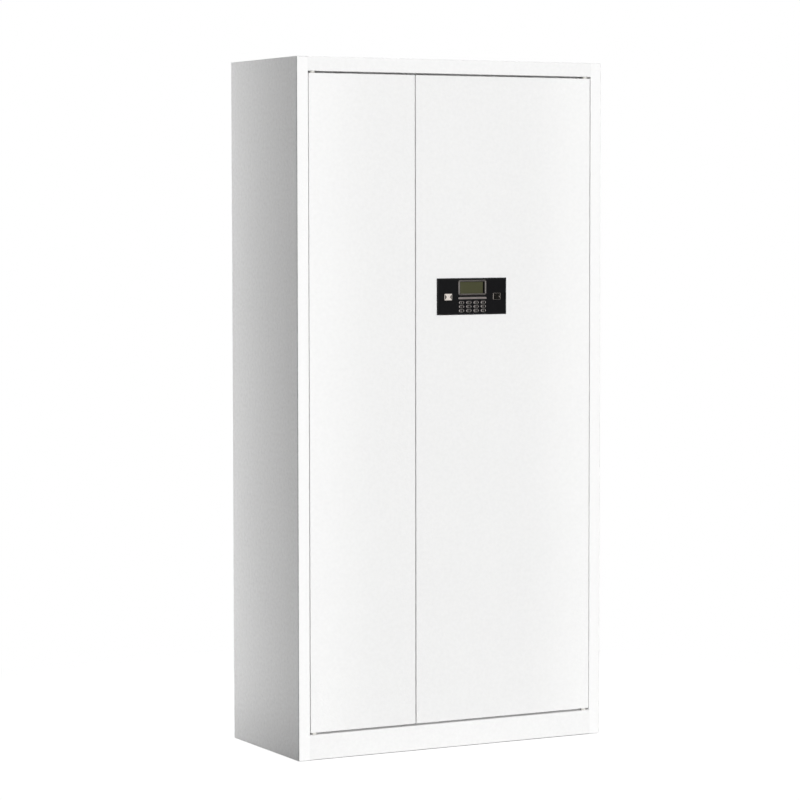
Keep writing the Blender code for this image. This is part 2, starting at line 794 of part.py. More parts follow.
def rack_outline(direction, end, back):
    # A rack that the pinion drives, met in a direction from the pinion's centre.
    # Along is the way it moves, and height is above its pitch line.
    pitch = math.pi * GEAR_MODULE
    slope = math.tan(PRESSURE_ANGLE)
    root = DEDENDUM * GEAR_MODULE
    tip = ADDENDUM * GEAR_MODULE
    half = pitch / 4 - TOOTH_PLAY / 4
    start = -BOLT_THROW - RACK_MARGIN
    phase = tooth_phase(direction) + 0.5
    outline = [(start, -back), (start, -root)]
    first = math.ceil((start + pitch / 2) / pitch - phase)
    last = math.floor((RACK_MARGIN - pitch / 3) / pitch - phase)
    for tooth in range(first, last + 1):
        middle = (tooth + phase) * pitch
        outline.append((middle - half - root * slope, -root))
        outline.append((middle - half + tip * slope, tip))
        outline.append((middle + half - tip * slope, tip))
        outline.append((middle + half + root * slope, -root))
    outline += [(end, -root), (end, -back)]
    out = Vector((math.cos(direction), math.sin(direction)))
    along = Vector((out.y, -out.x))
    middle = Vector((PINION_X, LOCK_Z)) + out * PITCH_RADIUS
    return [tuple(middle + along * reach - out * height) for reach, height in outline]


def build_bezel(pivot):
    front = FRONT - BEZEL_PROUD
    floor = front + CHANNEL_DEEP
    behind = FRONT + BOSS_DEEP + SHEET

    def block(half_width, half_height, near, far):
        low = (LOCK_X - half_width, near, LOCK_Z - half_height)
        return box(low, (LOCK_X + half_width, far, LOCK_Z + half_height))

    work = bmesh.new()
    block(BEZEL_WIDTH / 2, BEZEL_HEIGHT / 2, front, FRONT - SEAT)(work)
    face = min(work.faces, key=lambda face: face.normal.y)
    bmesh.ops.bevel(work, geom=list(face.edges), offset=BEZEL_CHAMFER, segments=1, affect="EDGES")
    bezel = add("lock_bezel", to_mesh("lock_bezel", work, (0.0, 0.0, 0.0)), "black_plastic", pivot=pivot)
    join(bezel, block(BOSS_WIDTH / 2, BOSS_HEIGHT / 2, FRONT - BEZEL_PROUD / 2, FRONT + BOSS_DEEP))
    cut(bezel, block(CAVITY_WIDTH / 2, CAVITY_HEIGHT / 2, front + BEZEL_WALL, behind))
    through = (front - SHEET, front + BEZEL_WALL + SHEET)
    holes = [plate(display_outline(FRAME_LEDGE - SEAT), *through)]
    for x, z in key_places():
        width = KEY_WIDTH + 2 * KEY_PLAY
        height = KEY_HEIGHT + 2 * KEY_PLAY
        holes.append(plate(rectangle(x, z, width, height, height / 2), *through))
    cut(bezel, *holes)
    channels = []
    grooves = []
    bores = []
    for side, radius in ((-1, CYLINDER_RADIUS), (1, SOCKET_RADIUS)):
        inner = LOCK_X + side * CHANNEL_INNER
        outer = inner + side * (COVER_REST + COVER_WIDTH + COVER_TRAVEL + COVER_STOP_PLAY)
        z = LOCK_Z + CHANNEL_RISE
        half = CHANNEL_HEIGHT / 2
        channels.append(box((outer, front - SHEET, z - half), (inner, floor - SEAT, z + half)))
        half += RAIL_GROOVE
        ease = side * SEAT
        low = (outer - ease, floor - RAIL_GROOVE_DEEP, z - half)
        grooves.append(box(low, (inner + ease, floor, z + half)))
        x = LOCK_X + side * HIDDEN_REACH
        bores.append(rod((x, floor - SHEET, z), (x, behind, z), radius + SEAT))
    cut(bezel, *channels)
    cut(bezel, *grooves)
    cut(bezel, *bores)
    inlay = (front - SHEET, front + INLAY_DEEP)
    cut(bezel, plate(display_outline(-SEAT), *inlay), plate(trim_outline(SEAT), *inlay))


def display_outline(inset):
    width = FRAME_WIDTH - 2 * inset
    height = FRAME_HEIGHT - 2 * inset
    return rectangle(LOCK_X, LOCK_Z + FRAME_RISE, width, height, max(FRAME_CORNER - inset, SHEET))


def trim_outline(growth):
    width = TRIM_WIDTH + 2 * growth
    height = TRIM_HEIGHT + 2 * growth
    return rectangle(LOCK_X, LOCK_Z + TRIM_RISE, width, height, SHEET)


def key_places():
    # Left to right, then down.
    for row in range(KEY_ROWS):
        for column in range(KEY_COLUMNS):
            x = LOCK_X + (column - (KEY_COLUMNS - 1) / 2) * KEY_COLUMN_PITCH
            yield x, LOCK_Z + KEY_FIRST_RISE - row * KEY_ROW_PITCH


def build_display(pivot):
    front = FRONT - BEZEL_PROUD
    glass = front + GLASS_SETBACK
    flange = plate(display_outline(0.0), front - FRAME_PROUD, front + INLAY_DEEP - SEAT)
    frame = solid("display_frame", "silver_trim", [flange], pivot=pivot)
    join(frame, plate(display_outline(FRAME_LEDGE), front, glass - SEAT))
    cut(frame, plate(display_outline(FRAME_BORDER), front - FRAME_PROUD - SHEET, glass + SHEET))
    pane = plate(display_outline(GLASS_BORDER), glass, glass + GLASS_THICK)
    solid("display_glass", "lcd_glass", [pane], pivot=pivot)
    bar = plate(trim_outline(0.0), front - TRIM_PROUD, front + INLAY_DEEP - SEAT)
    solid("trim_bar", "silver_trim", [bar], pivot=pivot)


def build_keys(pivot):
    front = FRONT - BEZEL_PROUD
    back = front - KEY_PROUD + KEY_DEEP
    shared = None
    for count, (x, z) in enumerate(key_places(), start=1):
        name = f"key_{count:02d}"
        origin = (x, front, z)
        if shared:
            add(name, shared, "silver_trim", origin, pivot)
            continue
        cap = plate(rectangle(x, z, KEY_WIDTH, KEY_HEIGHT, KEY_HEIGHT / 2), front - KEY_PROUD, back)
        key = solid(name, "silver_trim", [cap], origin, pivot)
        half = KEY_WIDTH / 2 + KEY_EAR
        ear = front + BEZEL_WALL + SEAT
        rise = KEY_HEIGHT / 4
        join(key, box((x - half, ear, z - rise), (x + half, ear + KEY_EAR_THICK, z + rise)))
        settle(key)
        shared = key.data
    board = back + KEY_TRAVEL + BOARD_KEY_ROOM
    half = (CAVITY_WIDTH / 2 - SEAT, CAVITY_HEIGHT / 2 - SEAT)
    low = (LOCK_X - half[0], board, LOCK_Z - half[1])
    high = (LOCK_X + half[0], board + BOARD_THICK, LOCK_Z + half[1])
    solid("circuit_board", "green_board", [box(low, high)], pivot=pivot)


def build_covers(pivot):
    # Square tabs with a dished face; each slides outwards in its channel.
    front = FRONT - BEZEL_PROUD
    floor = front + CHANNEL_DEEP
    z = LOCK_Z + CHANNEL_RISE
    face = front - COVER_PROUD
    foot = floor - COVER_PLAY
    half = CHANNEL_HEIGHT / 2 - COVER_PLAY
    wide = COVER_WIDTH / 2
    for side, word in ((-1, "left"), (1, "right")):
        x = LOCK_X + side * (CHANNEL_INNER + COVER_REST + wide)
        body = box((x - wide, face, z - half), (x + wide, foot - COVER_FOOT / 2, z + half))
        cover = solid(f"{word}_key_cover", "silver_trim", [body], (x, front, z), pivot)
        grip = half + RAIL_GROOVE
        inside = wide - SEAT
        join(cover, box((x - inside, foot - COVER_FOOT, z - grip), (x + inside, foot, z + grip)))
        rim = COVER_RIM
        low = (x - wide + rim, face - 2 * COVER_PROUD, z - half + rim)
        high = (x + wide - rim, face + COVER_DISH, z + half - rim)
        cut(cover, box(low, high, side * COVER_DISH_TILT))


def build_hidden_pieces(pivot):
    # The emergency key cylinder and the backup power socket behind the covers.
    start = FRONT - BEZEL_PROUD + CHANNEL_DEEP + CYLINDER_SINK
    z = LOCK_Z + CHANNEL_RISE
    x = LOCK_X - HIDDEN_REACH
    back = FRONT + CYLINDER_BACK
    shape = rod((x, start, z), (x, back, z), CYLINDER_RADIUS)
    barrel = solid("lock_cylinder", "zinc_steel", [shape], pivot=pivot)
    cut(barrel, rod((x, start - SHEET, z), (x, back + SHEET, z), PLUG_RADIUS + PLUG_PLAY))
    cam = back + CAM_GAP
    end = cam + CAM_THICK
    shape = rod((x, start, z), (x, end - CAM_THICK / 2, z), PLUG_RADIUS)
    plug = solid("key_plug", "brass", [shape], (x, start, z), pivot)
    half = CAM_WIDTH / 2
    join(plug, box((x - half, cam, z - CAM_REACH), (x + half, end, z + half)))
    half = KEYWAY_WIDTH / 2
    one = (x - half, start - SHEET, z - KEYWAY_HEIGHT / 2)
    cut(plug, box(one, (x + half, start + KEYWAY_DEEP, z + KEYWAY_HEIGHT / 2)))
    x = LOCK_X + HIDDEN_REACH
    back = start + SOCKET_DEEP
    floor = back - 2 * SHEET
    shape = rod((x, start, z), (x, back, z), SOCKET_RADIUS)
    socket = solid("power_socket", "black_plastic", [shape], pivot=pivot)
    cut(socket, rod((x, start - SHEET, z), (x, floor, z), SOCKET_BORE))
    join(socket, rod((x, start + SHEET, z), (x, floor + SHEET, z), SOCKET_PIN_RADIUS))


def build_lock_case(pivot):
    left = LOCK_X - CASE_LEFT
    right = LOCK_X + CASE_RIGHT
    low = LOCK_Z - CASE_HALF_HEIGHT
    high = LOCK_Z + CASE_HALF_HEIGHT
    front = FRONT + CASE_FRONT
    back = FRONT + CASE_BACK
    case = pan("lock_case", (left, front, low), (right, back, high), (0, 1, 0), 0.0, "zinc_steel",
               (0.0, 0.0, 0.0), pivot)
    bosses = []
    for x in (left + CASE_BOSS_INSET, right - CASE_BOSS_INSET):
        for z in (LOCK_Z - CASE_BOSS_RISE, LOCK_Z + CASE_BOSS_RISE):
            bosses.append(rod((x, SKIN_SEAT, z), (x, front + SHEET / 2, z), CASE_BOSS_RADIUS))
    join(case, *bosses)
    x = LOCK_X - HIDDEN_REACH
    z = LOCK_Z + CHANNEL_RISE
    near = front - SHEET
    far = front + 2 * SHEET
    half = LATCH_BAR / 2 + BOLT_PLAY
    one = (left - SHEET, LATCH_Y - BOLT_PLAY, LATCH_Z - half)
    cut(
        case,
        rod((x, near, z), (x, far, z), CYLINDER_RADIUS + SEAT),
        rod((PINION_X, near, LOCK_Z), (PINION_X, far, LOCK_Z), ARBOR_RADIUS + SEAT),
        box(one, (left + 2 * SHEET, LATCH_Y + LATCH_THICK + BOLT_PLAY, LATCH_Z + half)),
        upright_hole(ROD_X["top"], ROD_Y, high - 2 * SHEET, high + SHEET, ROD_RADIUS + BOLT_PLAY),
        upright_hole(ROD_X["bottom"], ROD_Y, low - SHEET, low + 2 * SHEET, ROD_RADIUS + BOLT_PLAY),
    )
    lid = back + SEAT
    sheet = box((left, lid, low), (right, lid + SHEET, high))
    cover = solid("lock_case_cover", "zinc_steel", [sheet], pivot=pivot)
    cut(cover, rod((PINION_X, back, LOCK_Z), (PINION_X, lid + 2 * SHEET, LOCK_Z), ARBOR_RADIUS + SEAT))
    one = (LOCK_X + BATTERY_LEFT, FRONT + BATTERY_FRONT, LOCK_Z - BATTERY_LOW)
    other = (LOCK_X + BATTERY_RIGHT, back, LOCK_Z + BATTERY_HIGH)
    solid("battery_box", "black_plastic", [box(one, other)], pivot=pivot)


def build_gear_train(pivot):
    near = FRONT + PINION_LAYER
    far = ROD_LAYER + ROD_LAYER_THICK + SEAT
    teeth = plate(gear_outline(PINION_TEETH, PINION_X, LOCK_Z, 0.0), near, far)
    pinion = solid("drive_pinion", "zinc_steel", [teeth], (PINION_X, near, LOCK_Z), pivot)
    ends = (FRONT + CASE_FRONT, FRONT + CASE_BACK + SEAT + SHEET)
    join(pinion, rod((PINION_X, ends[0], LOCK_Z), (PINION_X, ends[1], LOCK_Z), ARBOR_RADIUS))

    z = LOCK_Z + PITCH_RADIUS + GEAR_MODULE * MOTOR_TEETH / 2
    first = -math.pi / 2 + math.tau / MOTOR_TEETH * (tooth_phase(math.pi / 2) + 0.5)
    teeth = plate(gear_outline(MOTOR_TEETH, PINION_X, z, first), LATCH_Y, LATCH_Y + LATCH_THICK)
    gear = solid("motor_gear", "brass", [teeth], (PINION_X, LATCH_Y, z), pivot)
    start = FRONT + MOTOR_FRONT
    grip = start + MOTOR_SHAFT_GRIP
    join(gear, rod((PINION_X, LATCH_Y + LATCH_THICK / 2, z), (PINION_X, grip, z), MOTOR_SHAFT_RADIUS))
    barrel = rod((PINION_X, start, z), (PINION_X, FRONT + CASE_BACK, z), MOTOR_RADIUS)
    motor = solid("lock_motor", "zinc_steel", [barrel], pivot=pivot)
    cut(motor, rod((PINION_X, start - SHEET, z), (PINION_X, grip + SHEET, z), MOTOR_SHAFT_RADIUS + SEAT))


def build_latch(pivot):
    tip = DOOR_EDGES["right"][1] + BOLT_SINK
    tail = tip + LATCH_HEAD_LENGTH
    back = DEDENDUM * GEAR_MODULE + LATCH_BAR
    reach = PINION_X - tail + BOLT_THROW
    bar = plate(rack_outline(-math.pi / 2, reach, back), LATCH_Y, LATCH_Y + LATCH_THICK)
    latch = solid("latch_bolt", "zinc_steel", [bar], (tip, LATCH_Y, LATCH_Z), pivot)
    half = LATCH_HEAD_HEIGHT / 2
    low = (tip, LATCH_HEAD_Y, LATCH_Z - half)
    join(latch, box(low, (tail, LATCH_HEAD_Y + LATCH_HEAD_THICK, LATCH_Z + half)))


def build_rods(pivot):
    reach = RACK_MARGIN + ROD_PLATE_TAIL
    guides = (
        ("top", 1, math.pi, DOOR_HIGH, "upper_rod_guide", DOOR_HIGH - ROD_GUIDE_TOP_INSET),
        ("bottom", -1, 0.0, DOOR_LOW, "lower_rod_guide", DOOR_LOW + ROD_GUIDE_BOTTOM_INSET),
    )
    for end, out, direction, edge, guide_name, guide_z in guides:
        x = ROD_X[end]
        tip = edge - out * BOLT_SINK
        start = LOCK_Z + out * (reach - ROD_GRIP)
        flat = plate(rack_outline(direction, reach, RACK_BACK), ROD_LAYER, ROD_LAYER + ROD_LAYER_THICK)
        bar = solid(f"{end}_rod", "zinc_steel", [flat], (x, ROD_Y, tip), pivot)
        join(bar, rod((x, ROD_Y, start), (x, ROD_Y, tip), ROD_RADIUS))
        arm = ROD_Y + ROD_RADIUS + ROD_GUIDE_MARGIN
        path = [(arm, guide_z), (SKIN_SEAT, guide_z), (SKIN_SEAT, guide_z + ROD_GUIDE_HEIGHT)]
        half = ROD_GUIDE_WIDTH / 2
        guide = fold(guide_name, path, "X", x - half, x + half, pivot, "zinc_steel")
        cut(guide, upright_hole(x, ROD_Y, guide_z - SHEET, guide_z + 2 * SHEET, ROD_RADIUS + BOLT_PLAY))


build_side_panels()
build_top_panel()
build_bottom_panel()
build_back_panel()
build_uprights()
build_shelves()

left_door, left_pivot = build_door("left")
build_hand_bolts(build_stiffener("left", left_pivot), left_pivot)

right_door, right_pivot = build_door("right")
build_stiffener("right", right_pivot)
lock_half = (BOSS_WIDTH / 2 + BOSS_PLAY, BOSS_HEIGHT / 2 + BOSS_PLAY)
cut(right_door, box((LOCK_X - lock_half[0], FRONT - SHEET, LOCK_Z - lock_half[1]),
                    (LOCK_X + lock_half[0], FRONT + 2 * SHEET, LOCK_Z + lock_half[1])))
build_bezel(right_pivot)
build_display(right_pivot)
build_keys(right_pivot)
build_covers(right_pivot)
build_hidden_pieces(right_pivot)
build_lock_case(right_pivot)
build_gear_train(right_pivot)
build_latch(right_pivot)
build_rods(right_pivot)
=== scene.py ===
# Looks of a two-door steel filing cupboard with an electronic lock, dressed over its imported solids.
import json
import math

import bmesh
import bpy
import numpy as np
from mathutils import Matrix, Vector

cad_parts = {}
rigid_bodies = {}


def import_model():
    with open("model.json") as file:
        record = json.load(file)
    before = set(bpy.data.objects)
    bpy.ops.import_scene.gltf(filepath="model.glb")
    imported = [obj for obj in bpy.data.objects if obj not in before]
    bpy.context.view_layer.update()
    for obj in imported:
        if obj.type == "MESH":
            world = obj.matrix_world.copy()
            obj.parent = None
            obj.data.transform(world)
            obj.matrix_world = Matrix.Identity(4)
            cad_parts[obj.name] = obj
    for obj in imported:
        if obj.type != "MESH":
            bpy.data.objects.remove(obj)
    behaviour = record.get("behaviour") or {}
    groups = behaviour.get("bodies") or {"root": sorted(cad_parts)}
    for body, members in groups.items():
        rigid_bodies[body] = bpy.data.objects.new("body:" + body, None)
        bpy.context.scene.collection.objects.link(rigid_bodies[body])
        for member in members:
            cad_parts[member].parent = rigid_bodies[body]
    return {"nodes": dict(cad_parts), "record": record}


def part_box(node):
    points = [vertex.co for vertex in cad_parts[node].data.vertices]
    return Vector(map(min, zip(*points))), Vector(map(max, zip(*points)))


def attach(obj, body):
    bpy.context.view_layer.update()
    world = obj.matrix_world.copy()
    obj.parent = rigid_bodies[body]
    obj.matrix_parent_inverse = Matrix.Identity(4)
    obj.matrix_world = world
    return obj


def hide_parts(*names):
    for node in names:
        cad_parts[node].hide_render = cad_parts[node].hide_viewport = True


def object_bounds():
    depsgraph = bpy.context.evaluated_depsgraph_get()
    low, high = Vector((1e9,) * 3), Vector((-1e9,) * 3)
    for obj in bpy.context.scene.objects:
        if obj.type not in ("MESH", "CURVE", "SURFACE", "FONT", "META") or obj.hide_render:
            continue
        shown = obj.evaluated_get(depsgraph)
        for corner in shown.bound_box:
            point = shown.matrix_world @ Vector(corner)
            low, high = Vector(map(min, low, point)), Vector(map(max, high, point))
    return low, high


for leftover in list(bpy.data.objects):
    bpy.data.objects.remove(leftover)

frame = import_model()
nodes = frame["nodes"]
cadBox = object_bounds()
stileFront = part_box("left_side_panel")[0].y
groups = frame["record"]["behaviour"]["bodies"]
bodyOf = {node: body for body, members in groups.items() for node in members}
slotOf = {name: node.data.materials[0].name for name, node in nodes.items()}


class Flow:
    # A shader socket that takes part in sums: each operator adds one Math node.
    def __init__(self, finish, node, output):
        self.finish = finish
        self.node = node
        self.socket = node.outputs[output]

    def also(self, output):
        return Flow(self.finish, self.node, output)

    def maths(self, operation, first, second):
        return self.finish.node("Math", {"operation": operation}, {0: first, 1: second})

    def __add__(self, other):
        return self.maths("ADD", self, other)

    def __radd__(self, other):
        return self.maths("ADD", other, self)

    def __sub__(self, other):
        return self.maths("SUBTRACT", self, other)

    def __rsub__(self, other):
        return self.maths("SUBTRACT", other, self)

    def __mul__(self, other):
        return self.maths("MULTIPLY", self, other)

    def __rmul__(self, other):
        return self.maths("MULTIPLY", other, self)

    def __pow__(self, other):
        return self.maths("POWER", self, other)


class Finish:
    # A node tree being wired, for a material or for the world.
    def __init__(self, holder):
        self.holder = holder
        holder.use_nodes = True
        self.tree = holder.node_tree
        self.tree.nodes.clear()

    def node(self, kind, settings, sockets, output=0):
        # Settings come first, then each socket takes a link or a plain value.
        made = self.tree.nodes.new("ShaderNode" + kind)
        for key, value in settings.items():
            setattr(made, key, value)
        for key, value in sockets.items():
            if isinstance(value, Flow):
                self.tree.links.new(value.socket, made.inputs[key])
            else:
                made.inputs[key].default_value = value
        return Flow(self, made, output) if len(made.outputs) else made

    def place(self, stretch=None):
        spot = self.node("TexCoord", {}, {}, "Object")
        return self.node("Mapping", {}, {"Vector": spot, "Scale": stretch}) if stretch else spot

    def axes(self):
        parts = self.node("SeparateXYZ", {}, {"Vector": self.place()})
        return parts, parts.also("Y"), parts.also("Z")

    def noise(self, spot, size, detail=2.0):
        return self.node("TexNoise", {}, {"Vector": spot, "Scale": 1.0 / size, "Detail": detail})

    def ease(self, value, low, high):
        # 0 below low, 1 above high, a smooth step between.
        sockets = {"Value": value, "From Min": low, "From Max": high}
        return self.node("MapRange", {"interpolation_type": "SMOOTHSTEP"}, sockets)

    def size(self, value):
        return self.node("Math", {"operation": "ABSOLUTE"}, {0: value})

    def lesser(self, first, second):
        return self.node("Math", {"operation": "MINIMUM"}, {0: first, 1: second})

    def wave(self, value, pitch):
        # Distance to the nearest whole multiple of the pitch.
        return self.node("Math", {"operation": "PINGPONG"}, {0: value, 1: pitch / 2})

    def blend(self, share, first, second):
        ends = [end if isinstance(end, Flow) else (*end, 1.0) for end in (first, second)]
        return self.node("Mix", {"data_type": "RGBA"}, {0: share, 6: ends[0], 7: ends[1]}, 2)

    def bump(self, height, depth):
        return self.node("Bump", {}, {"Height": height, "Distance": depth})

    def shade(self, **sockets):
        named = {key.replace("_", " "): value for key, value in sockets.items()}
        shader = self.node("BsdfPrincipled", {}, named)
        self.node("OutputMaterial", {}, {"Surface": shader})
        return self.holder


def newFinish(name):
    return Finish(bpy.data.materials.new(name))


# Painted light and shade: the side, rail and door levels are lit and shaded copies of one white coat, set to
# stand in for how much light falls on each panel; the inside level is the general one.
whitePowder = {
    "side": 0.940, "rail": 0.898, "door": 0.858, "inside": 0.82, "tint": (1.0, 1.0, 0.996),
    "peel": 0.0050, "peelDetail": 2.5, "peelShare": 0.7, "grain": 0.0015, "bumpDepth": 0.00042,
    "speck": 0.0090, "speckDetail": 1.5, "mottle": 0.06, "cloud": 0.30, "cloudDetail": 3.0, "drift": 0.02,
    "roughLow": 0.36, "roughSpread": 0.16,
}


def powderPaint(name, level, mottle=whitePowder["mottle"], dents=None, tone=None):
    # Satin powder coat: orange peel over a finer grain, with specks and a slow drift in colour and gloss.
    finish = newFinish(name)
    spot = finish.place()
    peel = finish.noise(spot, whitePowder["peel"], whitePowder["peelDetail"])
    grain = finish.noise(spot, whitePowder["grain"])
    cloud = finish.noise(spot, whitePowder["cloud"], whitePowder["cloudDetail"])
    height = peel * whitePowder["peelShare"] + grain * (1 - whitePowder["peelShare"])
    if dents:
        height = height - dents(finish)
    speck = finish.noise(spot, whitePowder["speck"], whitePowder["speckDetail"])
    albedo = level + mottle * (speck - 0.5) + whitePowder["drift"] * (cloud - 0.5)
    # An added tone may carry painted light or shade, as on the doors and sides.
    if tone:
        albedo = albedo + tone(finish)
    colour = finish.blend(albedo, (0.0, 0.0, 0.0), whitePowder["tint"])
    rough = whitePowder["roughLow"] + whitePowder["roughSpread"] * (cloud * 0.5 + peel * 0.5)
    normal = finish.bump(height, whitePowder["bumpDepth"])
    return finish.shade(Base_Color=colour, Roughness=rough, Normal=normal)


doorPaintedLight = {"start": 0.20, "end": 0.43, "lift": 0.060}


def hingeSidePaintedLight(finish):
    # Painted light: each door's colour grows lighter towards its hinge side, standing in for brighter light
    # along the cabinet's outer edges.
    fromMiddle = finish.size(finish.axes()[0])
    return finish.ease(fromMiddle, doorPaintedLight["start"], doorPaintedLight["end"]) * doorPaintedLight["lift"]


sideCoat = {"mottle": 0.04, "speckle": 0.17, "skin": 0.0012,
            "foldStart": 0.00198, "foldEnd": 0.0066, "paintedFoldShade": 0.42}


def sideSpeckAndPaintedFoldShade(finish):
    # Sides are speckled, and just behind their sharp front fold the colour is greyer: painted shade along
    # the fold.
    across, along, upward = finish.axes()
    skin = sideCoat["skin"]
    outside = finish.ease(finish.size(across), cadBox[1].x - skin, cadBox[1].x - skin / 2)
    # Painted shade: a greyer band just behind the front fold.
    near = 1.0 - finish.ease(along - stileFront, sideCoat["foldStart"], sideCoat["foldEnd"])
    speck = finish.noise(finish.place(), whitePowder["speck"], whitePowder["speckDetail"]) - 0.5
    return outside * (speck * sideCoat["speckle"] - near * sideCoat["paintedFoldShade"])


flangeSpots = {"pitch": 0.150, "radius": 0.0032, "core": 0.00176, "inset": 0.008, "deep": 2.5,
               "skinStart": 0.0006, "skinEnd": 0.0004}


def flangeWelds(finish):
    # Spot welds in the rear flanges: round dents in a column at each side of the back.
    across, along, upward = finish.axes()
    sideways = finish.size(across) - (cadBox[1].x - flangeSpots["inset"])
    lengthways = finish.wave(upward, flangeSpots["pitch"])
    away = (sideways * sideways + lengthways * lengthways) ** 0.5
    rear = cadBox[1].y
    behind = finish.ease(along, rear - flangeSpots["skinStart"], rear - flangeSpots["skinEnd"])
    dent = 1.0 - finish.ease(away, flangeSpots["core"], flangeSpots["radius"])
    return dent * behind * flangeSpots["deep"]


blackMoulding = {"light": (0.0094, 0.0094, 0.0101), "deep": (0.0065, 0.0065, 0.0072), "cloud": 0.02,
                 "grain": 0.00035, "share": 0.6, "bumpDepth": 0.00003, "roughLow": 0.20,
                 "roughSpread": 0.08, "specular": 0.17}


def mouldedPlastic(name):
    # Fine spark-eroded grain of a black moulding.
    finish = newFinish(name)
    spot = finish.place()
    grain = finish.noise(spot, blackMoulding["grain"])
    cloud = finish.noise(spot, blackMoulding["cloud"])
    share = blackMoulding["share"]
    pale = cloud * share + grain * (1 - share)
    colour = finish.blend(pale, blackMoulding["deep"], blackMoulding["light"])
    rough = blackMoulding["roughLow"] + blackMoulding["roughSpread"] * (grain * share + cloud * (1 - share))
    normal = finish.bump(grain, blackMoulding["bumpDepth"])
    specular = blackMoulding["specular"]
    return finish.shade(Base_Color=colour, Roughness=rough, Normal=normal, Specular_IOR_Level=specular)


metals = {
    "platedKeys": {"light": (0.50, 0.47, 0.45), "deep": (0.42, 0.39, 0.37), "roughLow": 0.05,
                   "roughSpread": 0.04, "streak": 0.002, "stretch": (1.0, 1.0, 1.0)},
    "platedRing": {"light": (0.44, 0.41, 0.39), "deep": (0.37, 0.34, 0.32), "roughLow": 0.09,
                   "roughSpread": 0.06, "streak": 0.0006, "stretch": (0.05, 1.0, 1.0)},
    "champagneTabs": {"light": (0.90, 0.83, 0.77), "deep": (0.82, 0.75, 0.69), "roughLow": 0.05,
                      "roughSpread": 0.05, "streak": 0.0006, "stretch": (1.0, 1.0, 0.05)},
    "brushedBar": {"light": (0.88, 0.78, 0.75), "deep": (0.80, 0.705, 0.68), "roughLow": 0.32,
                   "roughSpread": 0.12, "streak": 0.0005, "stretch": (0.04, 1.0, 1.0)},
    "turnedBrass": {"light": (0.78, 0.58, 0.28), "deep": (0.62, 0.44, 0.19), "roughLow": 0.22,
                    "roughSpread": 0.14, "streak": 0.0015, "stretch": (1.0, 1.0, 1.0)},
}
metalWear = {"streakDetail": 4.0, "cloud": 0.015, "streakGloss": 0.7, "scratch": 0.000006}


def metalFinish(name):
    # Plated or brushed metal: streaks along one way in colour and gloss, and faint scratches.
    metal = metals[name]
    finish = newFinish(name)
    lines = finish.noise(finish.place(metal["stretch"]), metal["streak"], metalWear["streakDetail"])
    cloud = finish.noise(finish.place(), metalWear["cloud"])
    colour = finish.blend(lines * 0.5 + cloud * 0.5, metal["deep"], metal["light"])
    gloss = lines * metalWear["streakGloss"] + cloud * (1 - metalWear["streakGloss"])
    rough = metal["roughLow"] + metal["roughSpread"] * gloss
    normal = finish.bump(lines, metalWear["scratch"])
    return finish.shade(Base_Color=colour, Roughness=rough, Metallic=1.0, Normal=normal)


zinc = {"light": (0.68, 0.68, 0.67), "deep": (0.50, 0.51, 0.52), "spangles": 180.0, "spangleShare": 0.35,
        "cloud": 0.03, "cloudDetail": 3.0, "bumpDepth": 0.00003, "roughLow": 0.26, "cloudGloss": 0.14,
        "spangleGloss": 0.08}


def zincPlate(name):
    # Zinc plating: small pale spangles, with a drift in gloss.
    finish = newFinish(name)
    spot = finish.place()
    flakes = finish.node("TexVoronoi", {}, {"Vector": spot, "Scale": zinc["spangles"]}, "Color")
    spangle = finish.node("SeparateColor", {}, {"Color": flakes})
    cloud = finish.noise(spot, zinc["cloud"], zinc["cloudDetail"])
    pale = spangle * zinc["spangleShare"] + cloud * (1 - zinc["spangleShare"])
    colour = finish.blend(pale, zinc["deep"], zinc["light"])
    rough = zinc["roughLow"] + zinc["cloudGloss"] * cloud + zinc["spangleGloss"] * spangle
    normal = finish.bump(cloud, zinc["bumpDepth"])
    return finish.shade(Base_Color=colour, Roughness=rough, Metallic=1.0, Normal=normal)


nylon = {"light": (0.80, 0.79, 0.75), "deep": (0.70, 0.69, 0.64), "cloud": 0.004, "bumpDepth": 0.00005,
         "roughLow": 0.45, "roughSpread": 0.15}


def nylonFinish(name):
    # Natural nylon, cloudy and a little waxy.
    finish = newFinish(name)
    cloud = finish.noise(finish.place(), nylon["cloud"])
    colour = finish.blend(cloud, nylon["deep"], nylon["light"])
    rough = nylon["roughLow"] + nylon["roughSpread"] * cloud
    return finish.shade(Base_Color=colour, Roughness=rough, Normal=finish.bump(cloud, nylon["bumpDepth"]))


displayPane = {"light": (0.070, 0.071, 0.038), "deep": (0.052, 0.054, 0.029), "wallShadeBlack": (0.004, 0.004, 0.004),
               "dot": 0.0008, "line": 0.0001, "shadeBorderStart": 0.0024, "shadeBorderEnd": 0.0042,
               "wallShadeStart": 0.0054, "wallShadeEnd": 0.0058, "cloud": 0.03, "ground": 0.55, "drift": 0.25,
               "raster": 0.20, "roughLow": 0.10, "roughSpread": 0.06, "specular": 0.12}


